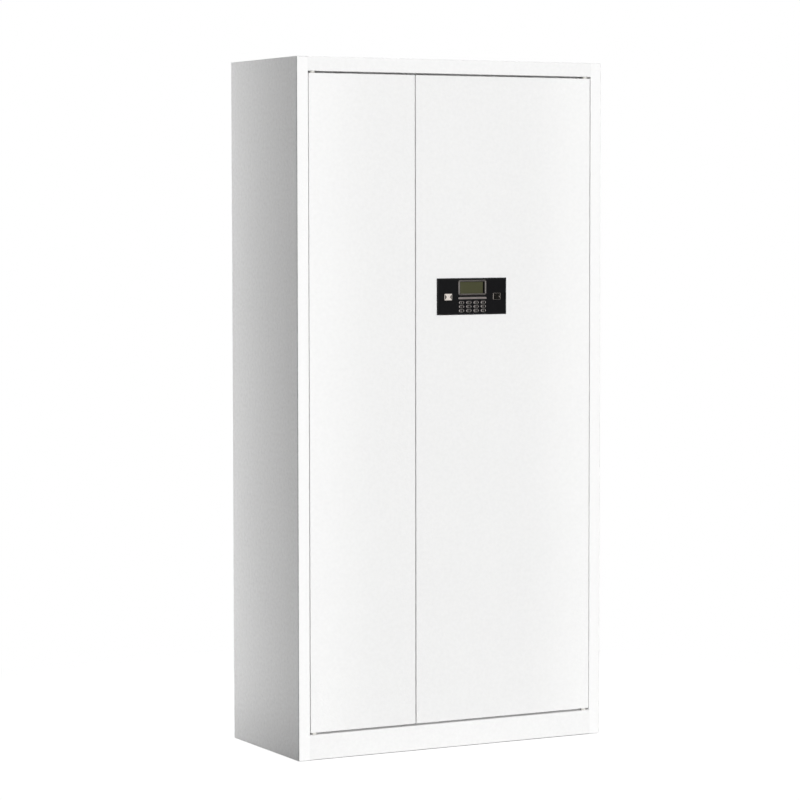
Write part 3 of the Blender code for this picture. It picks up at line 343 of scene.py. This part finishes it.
def displayFinish(name):
    # Unlit liquid crystal behind a window: an olive ground and a faint dot raster, with painted shade of the
    # well's walls: a darker border all round and, at both ends, a black band.
    finish = newFinish(name)
    low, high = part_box("display_glass")
    across, along, upward = finish.axes()
    rows = finish.ease(finish.wave(upward, displayPane["dot"]), 0.0, displayPane["line"])
    raster = rows * finish.ease(finish.wave(across, displayPane["dot"]), 0.0, displayPane["line"])
    sideRoom = finish.lesser(across - low.x, high.x - across)
    endRoom = finish.lesser(upward - low.z, high.z - upward)
    room = finish.lesser(sideRoom, endRoom)
    # Painted shade: darker towards every edge of the pane.
    border = finish.ease(room, displayPane["shadeBorderStart"], displayPane["shadeBorderEnd"])
    cloud = finish.noise(finish.place(), displayPane["cloud"])
    pale = displayPane["ground"] + displayPane["drift"] * cloud + displayPane["raster"] * raster
    colour = finish.blend(border * pale, displayPane["deep"], displayPane["light"])
    # Painted shade: black bands at both ends, for the well's shadowed walls.
    clear = finish.ease(sideRoom, displayPane["wallShadeStart"], displayPane["wallShadeEnd"])
    colour = finish.blend(clear, displayPane["wallShadeBlack"], colour)
    rough = displayPane["roughLow"] + displayPane["roughSpread"] * cloud
    return finish.shade(Base_Color=colour, Roughness=rough, Specular_IOR_Level=displayPane["specular"])


board = {"light": (0.028, 0.135, 0.055), "deep": (0.012, 0.085, 0.034), "stretch": (1.0, 1.0, 6.0),
         "track": 0.006, "trackDetail": 0.0, "trackStart": 0.50, "trackEnd": 0.53, "grain": 0.002,
         "bumpDepth": 0.00004, "roughLow": 0.32, "roughSpread": 0.1}


def boardFinish(name):
    # Solder mask over copper tracks.
    finish = newFinish(name)
    patches = finish.noise(finish.place(board["stretch"]), board["track"], board["trackDetail"])
    tracks = finish.ease(patches, board["trackStart"], board["trackEnd"])
    colour = finish.blend(tracks, board["deep"], board["light"])
    rough = board["roughLow"] + board["roughSpread"] * finish.noise(finish.place(), board["grain"])
    return finish.shade(Base_Color=colour, Roughness=rough, Normal=finish.bump(tracks, board["bumpDepth"]))


ink = {"light": (0.022, 0.021, 0.021), "deep": (0.008, 0.008, 0.009), "cloud": 0.0006, "roughLow": 0.5,
       "roughSpread": 0.1, "specular": 0.2}


def inkFinish(name):
    # Dull dark ink, a little uneven.
    finish = newFinish(name)
    cloud = finish.noise(finish.place(), ink["cloud"])
    colour = finish.blend(cloud, ink["deep"], ink["light"])
    rough = ink["roughLow"] + ink["roughSpread"] * cloud
    return finish.shade(Base_Color=colour, Roughness=rough, Specular_IOR_Level=ink["specular"])


paints = {
    "white_paint": powderPaint("whitePowderCoat", whitePowder["inside"]),
    "black_plastic": mouldedPlastic("blackMoulding"),
    "keypad": metalFinish("platedKeys"),
    "silver_trim": metalFinish("platedRing"),
    "lcd_glass": displayFinish("displayPane"),
    "zinc_steel": zincPlate("zincPlate"),
    "white_nylon": nylonFinish("naturalNylon"),
    "brass": metalFinish("turnedBrass"),
    "green_board": boardFinish("solderMask"),
}
tabSilver = metalFinish("champagneTabs")
barSilver = metalFinish("brushedBar")
# Doors, rails and sides take lit and shaded copies of the white coat, as painted light and shade.
doorPaint = powderPaint("doorPowderCoat", whitePowder["door"], tone=hingeSidePaintedLight)
railPaint = powderPaint("railPowderCoat", whitePowder["rail"])
sidePaint = powderPaint("sidePowderCoat", whitePowder["side"], sideCoat["mottle"], flangeWelds, sideSpeckAndPaintedFoldShade)
darkInk = inkFinish("keyInk")
for name, node in nodes.items():
    node.material_slots[0].material = paints[slotOf[name]]
print("finishes:", len(bpy.data.materials), "materials")


def link(name, mesh, body):
    piece = bpy.data.objects.new(name, mesh)
    bpy.context.scene.collection.objects.link(piece)
    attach(piece, body)
    return piece


formedPieces = {"weld": 0.000002, "sharp": 50.0, "bevelSteps": 2, "bevelAngle": 40.0}


def smoothCopy(node, finish, bevel=0.0):
    # A merged copy of a solid: its folds shade round while its flats stay flat.
    mesh = nodes[node].data.copy()
    for layer in ("custom_normal", "sharp_edge", "sharp_face"):
        if layer in mesh.attributes:
            mesh.attributes.remove(mesh.attributes[layer])
    work = bmesh.new()
    work.from_mesh(mesh)
    bmesh.ops.remove_doubles(work, verts=work.verts, dist=formedPieces["weld"])
    work.to_mesh(mesh)
    work.free()
    mesh.materials.clear()
    mesh.materials.append(finish)
    mesh.shade_smooth()
    mesh.set_sharp_from_angle(angle=math.radians(formedPieces["sharp"]))
    piece = link(node + "_formed", mesh, bodyOf[node])
    if bevel:
        soften = piece.modifiers.new("soften", "BEVEL")
        soften.width = bevel
        soften.segments = formedPieces["bevelSteps"]
        soften.limit_method = "ANGLE"
        soften.angle_limit = math.radians(formedPieces["bevelAngle"])
    even = piece.modifiers.new("even", "WEIGHTED_NORMAL")
    even.keep_sharp = True
    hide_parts(node)


outerSheets = {"left_door": doorPaint, "right_door": doorPaint,
               "left_side_panel": sidePaint, "right_side_panel": sidePaint,
               "top_panel": railPaint, "bottom_panel": railPaint}
turnedEnds = ("_pin", "_bush", "_bolt", "_rod", "_guide", "_cylinder", "_plug", "_socket",
              "_motor", "_pinion", "_gear")
softEdges = {"lock_bezel": 0.0003, "lock_case": 0.0008, "lock_case_cover": 0.0008, "battery_box": 0.0010}
for node, finish in outerSheets.items():
    smoothCopy(node, finish)
for node in nodes:
    if node.endswith(("_stiffener", "_upright")) or node.startswith("shelf_"):
        smoothCopy(node, paints["white_paint"])
for node in nodes:
    if node.endswith(turnedEnds):
        smoothCopy(node, paints[slotOf[node]])
for node, bevel in softEdges.items():
    smoothCopy(node, paints[slotOf[node]], bevel)
print("sheet steel:", len(outerSheets), "outer panels with rounded folds")


def solidPiece(name, points, faces, finishes, body, marks=None, sharp=35.0):
    # A mesh from whole arrays, with faces turned outwards, smooth up to the sharp angle.
    mesh = bpy.data.meshes.new(name)
    mesh.from_pydata(points.tolist(), [], faces)
    for finish in finishes:
        mesh.materials.append(finish)
    if marks is not None:
        mesh.polygons.foreach_set("material_index", np.asarray(marks, np.int32))
    work = bmesh.new()
    work.from_mesh(mesh)
    bmesh.ops.recalc_face_normals(work, faces=work.faces)
    work.to_mesh(mesh)
    work.free()
    mesh.shade_smooth()
    mesh.set_sharp_from_angle(angle=math.radians(sharp))
    return link(name, mesh, body)


def ringQuads(rings, around, start=0, closed=False):
    # Four-sided faces between each ring of points and the next, with the points counted ring by ring. When
    # closed, the last ring joins the first.
    first = np.arange(rings if closed else rings - 1)[:, None]
    ring = first * around + start
    nextRing = (first + 1) % rings * around + start
    step = np.arange(around)
    follow = (step + 1) % around
    quads = np.stack([ring + step, ring + follow, nextRing + follow, nextRing + step], axis=-1)
    return quads.reshape(-1, 4)


def carried(middle, width, height, corner, profile, closed=False, steps=8, leastRadius=0.00002):
    # A profile of (side inset, end inset, depth) steps carried round a rounded rectangle: four quarter
    # circles about the corner middles, drawn in by the insets, with one ring of points for each step.
    sideIn, endIn, depth = (part[:, None, None] for part in np.array(profile, float).T)
    radius = np.maximum(corner - np.minimum(sideIn, endIn), leastRadius)
    turn = np.arange(4)[:, None] * math.pi / 2 + np.linspace(0, math.pi / 2, steps + 1)
    x = np.array([1, -1, -1, 1])[:, None] * (width / 2 - sideIn - radius) + radius * np.cos(turn)
    z = np.array([1, 1, -1, -1])[:, None] * (height / 2 - endIn - radius) + radius * np.sin(turn)
    rings = np.stack([middle[0] + x, middle[1] + depth + 0 * x, middle[2] + z], axis=-1)
    count = len(profile)
    around = turn.size
    faces = ringQuads(count, around, closed=closed).tolist()
    if not closed:
        faces += [list(range(around)), list(range((count - 1) * around, count * around))]
    return rings.reshape(-1, 3), faces


def shoulder(soft, drop, steps=5):
    # Quarter ellipse from the side wall over to the top face.
    turn = np.linspace(0, math.pi / 2, steps)
    inset = soft * (1 - np.cos(turn))
    return np.stack([inset, inset, drop * (1 - np.sin(turn))], axis=1).tolist()


def frontOf(node):
    # The middle of a node's front face, and the node's size.
    low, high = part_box(node)
    size = np.array(high) - np.array(low)
    middle = (np.array(low) + np.array(high)) / 2
    middle[1] -= size[1] / 2
    return middle, size


displayRing = {"corner": 0.0040, "border": 0.0042, "round": 0.0014, "seat": 0.0012, "tube": 0.0026}


def buildDisplayRing():
    # Silver ring with rounded shoulders, and the dark wall of the well inside it.
    middle, size = frontOf("display_frame")
    soft = displayRing["round"]
    inner = displayRing["border"]
    seat = displayRing["seat"]
    tube = displayRing["tube"]
    outerSide = shoulder(soft, soft)
    innerSide = [(inner - inset, inner - inset, depth) for inset, same, depth in reversed(outerSide)]
    well = [(inner, inner, size[1]), (tube, tube, size[1]), (tube, tube, seat)]
    profile = [(0.0, 0.0, seat), *outerSide, *innerSide, *well]
    points, faces = carried(middle, size[0], size[2], displayRing["corner"], profile, True)
    around = len(faces) // len(profile)
    marks = np.repeat(np.where(np.arange(len(profile)) > 2 * len(outerSide) - 1, 1, 0), around)
    finishes = [paints["silver_trim"], paints["black_plastic"]]
    body = bodyOf["display_frame"]
    ring = solidPiece("display_ring", points, faces, finishes, body, marks)
    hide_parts("display_frame")


trimBar = {"corner": 0.0010, "rise": 0.0003, "steps": 9, "reach": 0.96}


def buildTrimBar():
    # A low bar whose front is an arc of a circle from its lower to its upper edge.
    middle, size = frontOf("trim_bar")
    half = size[2] / 2
    rise = trimBar["rise"]
    radius = (half ** 2 + rise ** 2) / (2 * rise)
    inset = np.linspace(0, half * trimBar["reach"], trimBar["steps"])
    depth = radius - np.sqrt(radius ** 2 - (half - inset) ** 2)
    profile = [(0.0, 0.0, size[1]), *np.stack([inset, inset, depth], axis=1).tolist()]
    points, faces = carried(middle, size[0], size[2], trimBar["corner"], profile)
    bar = solidPiece("trim_bar_crowned", points, faces, [barSilver], bodyOf["trim_bar"])
    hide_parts("trim_bar")


keyCaps = {"ear": 0.0026, "shoulder": 0.0012, "drop": 0.0008, "bow": 0.0007, "around": 72,
           "topRings": 6, "topOuter": 0.82, "topInner": 0.02,
           "glyphs": "1234567890*#", "glyphSize": 0.0062, "glyphSteps": 4, "inkDepth": 0.00006,
           "glyphWeld": 1e-7}


def glyphArrays(glyph):
    # One character as a thin solid in X and Y, with its middle at the origin.
    letter = bpy.data.curves.new("glyph", "FONT")
    letter.body = glyph
    letter.size = keyCaps["glyphSize"]
    letter.extrude = keyCaps["inkDepth"] / 2
    letter.resolution_u = keyCaps["glyphSteps"]
    holder = bpy.data.objects.new("glyph", letter)
    bpy.context.scene.collection.objects.link(holder)
    bpy.context.view_layer.update()
    mesh = bpy.data.meshes.new_from_object(holder.evaluated_get(bpy.context.evaluated_depsgraph_get()))
    bpy.data.objects.remove(holder)
    work = bmesh.new()
    work.from_mesh(mesh)
    bmesh.ops.remove_doubles(work, verts=work.verts, dist=keyCaps["glyphWeld"])
    work.to_mesh(mesh)
    work.free()
    points = np.empty(len(mesh.vertices) * 3)
    mesh.vertices.foreach_get("co", points)
    points = points.reshape(-1, 3)
    points[:, :2] -= (points[:, :2].min(0) + points[:, :2].max(0)) / 2
    return points, [list(polygon.vertices) for polygon in mesh.polygons]


def pillCap(middle, width, height, back):
    # A pill on a polar grid. Its outline has two straight edges and two half circles: along each ray it
    # lies where the ray meets an edge or, past the edge, a half circle. The top falls as the square of the
    # distance along the key.
    turn = np.linspace(0, math.tau, keyCaps["around"], endpoint=False)[None, :]
    over = np.array(shoulder(keyCaps["shoulder"], keyCaps["drop"]))
    rings = keyCaps["topRings"]
    top = np.linspace(keyCaps["topOuter"], keyCaps["topInner"], rings)
    inset = np.concatenate([[0.0], over[:, 0], np.full(rings, keyCaps["shoulder"])])[:, None]
    depth = np.concatenate([[back], over[:, 2], np.zeros(rings)])[:, None]
    share = np.concatenate([np.ones(1 + len(over)), top])[:, None]
    radius = height / 2 - inset
    straight = (width - height) / 2
    edge = radius / np.maximum(np.abs(np.sin(turn)), 1e-9)
    beyond = np.sqrt(np.maximum(radius ** 2 - (straight * np.sin(turn)) ** 2, 0))
    bend = straight * np.abs(np.cos(turn)) + beyond
    reach = share * np.where(edge * np.abs(np.cos(turn)) <= straight, edge, bend)
    x = reach * np.cos(turn)
    z = reach * np.sin(turn)
    fall = keyCaps["bow"] * (2 * x / width) ** 2 * (depth < back)
    grid = np.stack([middle[0] + x, middle[1] + depth + fall, middle[2] + z], axis=-1)
    around = turn.size
    last = (len(share) - 1) * around
    ends = [list(range(around)), list(range(last, last + around))]
    return grid.reshape(-1, 3), ringQuads(len(share), around).tolist() + ends


def buildKeys():
    # Plated pill keys, each with its number in dark ink that follows the bow.
    for count, glyph in enumerate(keyCaps["glyphs"], start=1):
        node = f"key_{count:02d}"
        middle, size = frontOf(node)
        width = size[0] - 2 * keyCaps["ear"]
        points, faces = pillCap(middle, width, size[2], size[1])
        mark, markFaces = glyphArrays(glyph)
        markDepth = keyCaps["bow"] * (2 * mark[:, 0] / width) ** 2 - mark[:, 2]
        markPoints = middle + np.stack([mark[:, 0], markDepth, mark[:, 1]], axis=1)
        finishOf = [0] * len(faces) + [1] * len(markFaces)
        faces += [[corner + len(points) for corner in face] for face in markFaces]
        points = np.concatenate([points, markPoints])
        finishes = [paints["keypad"], darkInk]
        key = solidPiece(node + "_cap", points, faces, finishes, bodyOf[node], finishOf)
        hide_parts(node)


coverTabs = {"foot": 0.0016, "corner": 0.0012, "round": 0.0005, "rim": 0.0013, "dish": 0.00016,
             "ridge": 0.0048, "levelHalf": 0.0001, "back": 0.0049, "sharp": 0.8}


def buildTabs():
    # Square slide tabs: a rounded rim round four flat sides that fall to a short level line in the middle.
    for node in ("left_key_cover", "right_key_cover"):
        middle, size = frontOf(node)
        tall = size[2] - 2 * coverTabs["foot"]
        rim = coverTabs["rim"]
        bottom = (rim + coverTabs["ridge"], tall / 2 - coverTabs["levelHalf"], coverTabs["dish"])
        rounded = shoulder(coverTabs["round"], coverTabs["round"])
        profile = [(0.0, 0.0, coverTabs["back"]), *rounded, (rim, rim, 0.0), bottom]
        points, faces = carried(middle, size[0], tall, coverTabs["corner"], profile)
        tab = solidPiece(node + "_tab", points, faces, [tabSilver], bodyOf[node],
                         sharp=coverTabs["sharp"])
        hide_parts(node)


buildDisplayRing()
buildTrimBar()
buildKeys()
buildTabs()
print("lock front: display ring, trim bar, two tabs and", len(keyCaps["glyphs"]), "keys")

caseScrews = {"inset": 0.006, "rise": 0.035, "radius": 0.0036, "tall": 0.0016, "slotWide": 0.0009,
              "slotLong": 0.0044, "deep": 0.0010, "sideSlope": 0.0002, "endSlope": 0.0003, "spin": 0.9,
              "rings": 12, "core": 0.12, "around": 48}


def screwHead(place, spin):
    # Pan head facing +Y on a polar grid: a fourth-power dome, less a cross whose sides fall off evenly.
    share = np.concatenate([[0.0], np.linspace(caseScrews["core"], 1.0, caseScrews["rings"])])[:, None]
    turn = np.linspace(0, math.tau, caseScrews["around"], endpoint=False)[None, :]
    x = share * caseScrews["radius"] * np.cos(turn)
    z = share * caseScrews["radius"] * np.sin(turn)
    slotX = np.abs(x * math.cos(spin) + z * math.sin(spin))
    slotZ = np.abs(z * math.cos(spin) - x * math.sin(spin))
    halfWide = caseScrews["slotWide"] / 2
    halfLong = caseScrews["slotLong"] / 2
    wide = [np.clip((halfWide - away) / caseScrews["sideSlope"] + 0.5, 0, 1) for away in (slotX, slotZ)]
    long = [np.clip((halfLong - away) / caseScrews["endSlope"] + 0.5, 0, 1) for away in (slotZ, slotX)]
    cross = np.maximum(wide[0] * long[0], wide[1] * long[1])
    rise = caseScrews["tall"] * np.sqrt(1 - share ** 4) + 0 * turn - caseScrews["deep"] * cross
    grid = np.stack([place[0] + x, place[1] + rise, place[2] + z], axis=-1)
    around = turn.size
    points = np.concatenate([grid[:1, 0], grid[1:].reshape(-1, 3)])
    step = np.arange(around)
    follow = (step + 1) % around
    fan = np.stack([np.zeros_like(step), 1 + follow, 1 + step], axis=1).tolist()
    last = len(points) - around
    return points, fan + ringQuads(len(share) - 1, around, 1).tolist() + [list(range(last, last + around))]


def buildCaseScrews():
    # Four screws near the corners of the case cover, each turned a little further than the one before.
    low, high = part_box("lock_case_cover")
    middle = (low.z + high.z) / 2
    columns = (low.x + caseScrews["inset"], high.x - caseScrews["inset"])
    places = [(x, high.y, middle + side * caseScrews["rise"]) for x in columns for side in (-1, 1)]
    for count, place in enumerate(places, start=1):
        points, faces = screwHead(place, caseScrews["spin"] * count)
        finishes = [paints["zinc_steel"]]
        solidPiece(f"case_screw_{count}", points, faces, finishes, bodyOf["lock_case_cover"])
    print("lock case:", len(places), "screws")


buildCaseScrews()

frameSeams = {"stile": 0.0320, "seat": 0.0003, "bend": 0.0020, "lintel": 0.0354, "lid": 0.0020,
              "ledge": 0.0635, "foot": 0.0004}


def buildSeams():
    # Ground welds where rails meet stiles: the wedge between a stile's bend, drawn as two chords, and the
    # end of the rail.
    bend = frameSeams["bend"]
    reach = cadBox[1].x - frameSeams["stile"]
    chord = bend * (1 - math.sqrt(0.5))
    end = reach - frameSeams["seat"]
    corners = [(reach + bend, 0.0), (end, 0.0), (end, bend), (reach, bend), (reach + chord, chord)]
    section = np.tile(corners, (2, 1))
    count = len(corners)
    plinth = (frameSeams["foot"], frameSeams["ledge"])
    header = (cadBox[1].z - frameSeams["lintel"], cadBox[1].z - frameSeams["lid"])
    points = []
    faces = []
    for side in (-1, 1):
        for span in (plinth, header):
            start = 2 * count * len(points)
            levels = np.repeat(span, count)
            points.append(np.stack([side * section[:, 0], stileFront + section[:, 1], levels], axis=1))
            faces += [list(range(start, start + count)), list(range(start + count, start + 2 * count))]
            faces += ringQuads(2, count, start).tolist()
    solidPiece("seam_welds", np.concatenate(points), faces, [railPaint], "cabinet")
    print("carcass:", len(points), "ground seams")


buildSeams()

hatWelds = {"radius": 0.0016, "tall": 0.00025, "brimMiddle": 0.0028, "endRoom": 0.030, "sheet": 0.001,
            "count": 15}
guideRivets = {"radius": 0.0026, "tall": 0.0012, "sideRoom": 0.0050, "endRoom": 0.0055, "sheet": 0.001}
lowHeads = {"rings": (0.02, 0.4, 0.7, 0.88, 0.97, 1.0), "around": 18, "power": 8}


def lowDomes(name, places, shape, slot, body):
    # Round heads facing +Y, each an eighth-power dome on a polar grid closed by its flat base.
    share = np.array(lowHeads["rings"])[:, None]
    turn = np.linspace(0, math.tau, lowHeads["around"], endpoint=False)[None, :]
    rise = shape["tall"] * (1 - share ** lowHeads["power"]) + 0 * turn
    reach = share * shape["radius"]
    head = np.stack([reach * np.cos(turn), rise, reach * np.sin(turn)], axis=-1).reshape(-1, 3)
    points = np.asarray(places)[:, None] + head[None]
    around = turn.size
    step = np.arange(around)
    ends = np.stack([step, len(head) - around + step])
    start = np.arange(len(points))[:, None, None] * len(head)
    faces = (ringQuads(len(share), around)[None] + start).reshape(-1, 4).tolist()
    faces += (ends[None] + start).reshape(-1, around).tolist()
    solidPiece(name, points.reshape(-1, 3), faces, [paints[slot]], body)


def buildFixings():
    # Weld marks in two rows on each stiffener's brims, and two rivets on each rod guide.
    for side in ("left", "right"):
        node = side + "_door_stiffener"
        low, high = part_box(node)
        levels = np.linspace(low.z + hatWelds["endRoom"], high.z - hatWelds["endRoom"], hatWelds["count"])
        brims = (low.x + hatWelds["brimMiddle"], high.x - hatWelds["brimMiddle"])
        places = [(x, low.y + hatWelds["sheet"], z) for x in brims for z in levels]
        lowDomes(side + "_hat_welds", places, hatWelds, "white_paint", bodyOf[node])
    for node in ("upper_rod_guide", "lower_rod_guide"):
        low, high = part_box(node)
        level = high.z - guideRivets["endRoom"]
        ears = (low.x + guideRivets["sideRoom"], high.x - guideRivets["sideRoom"])
        places = [(x, low.y + guideRivets["sheet"], level) for x in ears]
        lowDomes(node + "_rivets", places, guideRivets, "zinc_steel", bodyOf[node])
    print("doors:", 4 * hatWelds["count"], "weld marks and 4 rivets")


buildFixings()

studioCamera = {"lens": 135.89, "sensor": 36.0, "place": (-3.7918, -7.10525, 1.4113),
                "yaw": 27.752, "pitch": -3.604, "roll": -0.079}


def placeCamera():
    lens = bpy.data.cameras.new("camera")
    lens.lens = studioCamera["lens"]
    lens.sensor_width = studioCamera["sensor"]
    eye = bpy.data.objects.new("camera", lens)
    turn = Matrix.Rotation(-math.radians(studioCamera["yaw"]), 4, "Z")
    tip = Matrix.Rotation(math.radians(90 + studioCamera["pitch"]), 4, "X")
    roll = Matrix.Rotation(math.radians(studioCamera["roll"]), 4, "Z")
    eye.matrix_world = Matrix.Translation(studioCamera["place"]) @ turn @ tip @ roll
    bpy.context.scene.collection.objects.link(eye)
    bpy.context.scene.camera = eye


studioLight = {
    "keyBox": {"place": (-1.5, -24.95, 5.5), "aim": (0.0, -0.2, 0.9),
               "width": 9.0, "height": 3.5, "power": 6000.0},
    "tabCard": {"place": (0.797, -1.70, 1.135), "aim": (0.797, 0.0, 1.135),
                "width": 0.082, "height": 0.31, "power": 0.076},  # the card that the left tab mirrors
    "sidePanel": {"place": (-0.70, 0.56, 0.90), "aim": (-0.45, 0.20, 0.90),
                  "width": 0.3, "height": 2.8, "power": 4.3},
    "lowFill": {"place": (-1.05, 0.55, 0.06), "aim": (-0.45, 0.25, 0.30),
                "width": 0.5, "height": 0.25, "power": 0.35},
    "rearBox": {"place": (0.0, 7.0, 2.6), "aim": (0.0, 0.2, 0.9),
                "width": 1.2, "height": 1.8, "power": 260.0},
    "topBox": {"place": (0.0, 0.5, 3.9), "aim": (0.0, 0.3, 0.0),
               "width": 2.4, "height": 2.4, "power": 28.0},
}
ambient = {"level": 0.045, "rearLift": 0.45, "liftWay": (0.8, 0.6, 0.0), "liftStart": 0.35, "liftFull": 0.80,
           "frontGloss": 0.012, "rearStart": -0.25, "rearFull": 0.55, "roofStart": 0.25, "roofFull": 0.70,
           "strip": 0.92, "stripTop": 0.12, "stripFade": 0.35,
           "gapMiddle": 0.48, "gapHalf": 0.19, "gapEdge": 0.07,
           "canopy": 0.75, "canopyStart": 0.30, "canopyFull": 0.60}


def softBox(name, place, aim, width, height, power):
    # A rectangular lamp that faces its aim.
    lamp = bpy.data.lights.new(name, "AREA")
    lamp.shape = "RECTANGLE"
    lamp.size = width
    lamp.size_y = height
    lamp.energy = power
    holder = bpy.data.objects.new(name, lamp)
    holder.location = place
    holder.rotation_euler = (Vector(aim) - Vector(place)).to_track_quat("-Z", "Y").to_euler()
    holder.visible_camera = False
    bpy.context.scene.collection.objects.link(holder)
    return holder


def lightStudio():
    boxes = {name: softBox(name, **lamp) for name, lamp in studioLight.items()}
    for name in ("keyBox", "rearBox", "topBox"):  # metal mirrors the surround and not these
        boxes[name].visible_glossy = False
    world = bpy.data.worlds.new("studio")
    bpy.context.scene.world = world
    sky = Finish(world)
    path = sky.node("LightPath", {}, {}, "Is Camera Ray")
    seen = path + path.also("Is Transmission Ray")
    glossy = path.also("Is Glossy Ray")
    toward = sky.node("TexCoord", {}, {}, "Generated")
    way = sky.node("SeparateXYZ", {}, {"Vector": toward})
    # Metal mirrors white behind, and two pale strips with a dark gap between in front, under a pale ceiling.
    underRoof = 1.0 - sky.ease(way.also("Z"), ambient["roofStart"], ambient["roofFull"])
    rear = sky.ease(way.also("Y"), ambient["rearStart"], ambient["rearFull"]) * underRoof
    outside = sky.size(way - ambient["gapMiddle"])
    gap = ambient["gapHalf"]
    strips = sky.ease(outside, gap, gap + ambient["gapEdge"]) * ambient["strip"]
    strips = strips * (1.0 - sky.ease(sky.size(way.also("Z")), ambient["stripTop"], ambient["stripFade"]))
    canopy = sky.ease(way.also("Z"), ambient["canopyStart"], ambient["canopyFull"]) * ambient["canopy"]
    mirrored = ambient["frontGloss"] + strips + (1.0 - ambient["frontGloss"] - strips) * rear + canopy
    # Sheets get a dim even light with a lift from the right and rear.
    fill = sky.node("VectorMath", {"operation": "DOT_PRODUCT"}, {0: toward, 1: ambient["liftWay"]}, "Value")
    lift = sky.ease(fill, ambient["liftStart"], ambient["liftFull"])
    diffuse = ambient["level"] + ambient["rearLift"] * lift
    strength = seen + glossy * mirrored + (1.0 - seen - glossy) * diffuse
    light = sky.node("Background", {}, {"Color": (1.0, 1.0, 1.0, 1.0), "Strength": strength})
    sky.node("OutputWorld", {}, {"Surface": light})
    bpy.context.scene.view_settings.view_transform = "Standard"


paleFloor = {"half": 8.0, "drop": 0.0010, "light": (0.47, 0.47, 0.47), "deep": (0.45, 0.45, 0.45),
             "cloud": 0.5, "glow": 0.80, "near": 0.6, "far": 1.7, "mirrorStart": -0.6, "mirrorFull": 0.4,
             "edge": 0.003}


def layFloor():
    # A level square: near the object it is lit and shadowed, further out it fades to the white surround.
    half = paleFloor["half"]
    corners = np.array([(-half, -half), (half, -half), (half, half), (-half, half)])
    points = np.column_stack([corners, np.full(4, -paleFloor["drop"])])
    mesh = bpy.data.meshes.new("pale_floor")
    mesh.from_pydata(points.tolist(), [], [[0, 1, 2, 3]])
    floor = bpy.data.objects.new("pale_floor", mesh)
    bpy.context.scene.collection.objects.link(floor)
    finish = newFinish("paleFloor")
    path = finish.node("LightPath", {}, {}, "Is Camera Ray")
    across, along, upward = finish.axes()
    behind = finish.ease(along, paleFloor["mirrorStart"], paleFloor["mirrorFull"])
    seen = path + path.also("Is Glossy Ray") * behind + path.also("Is Transmission Ray")
    far = finish.ease((across * across + along * along) ** 0.5, paleFloor["near"], paleFloor["far"])
    cloud = finish.noise(finish.place(), paleFloor["cloud"])
    colour = finish.blend(cloud, paleFloor["deep"], paleFloor["light"])
    lit = finish.node("BsdfDiffuse", {}, {"Color": colour})
    sideRoom = cadBox[1].x - finish.size(across)
    endRoom = finish.lesser(along - stileFront, cadBox[1].y - along)
    under = finish.ease(finish.lesser(sideRoom, endRoom), 0.0, paleFloor["edge"])
    glow = seen * (1.0 - under) * paleFloor["glow"]  # none under the cabinet
    near = finish.node("Emission", {}, {"Color": (1.0, 1.0, 1.0, 1.0), "Strength": glow})
    both = finish.node("AddShader", {}, {0: lit, 1: near})
    white = finish.node("Emission", {}, {"Color": (1.0, 1.0, 1.0, 1.0), "Strength": seen})
    surface = finish.node("MixShader", {}, {0: far * seen, 1: both, 2: white})
    finish.node("OutputMaterial", {}, {"Surface": surface})
    mesh.materials.append(finish.holder)


placeCamera()
lightStudio()
layFloor()
print("studio:", len(studioLight), "soft lights, pale floor and camera")
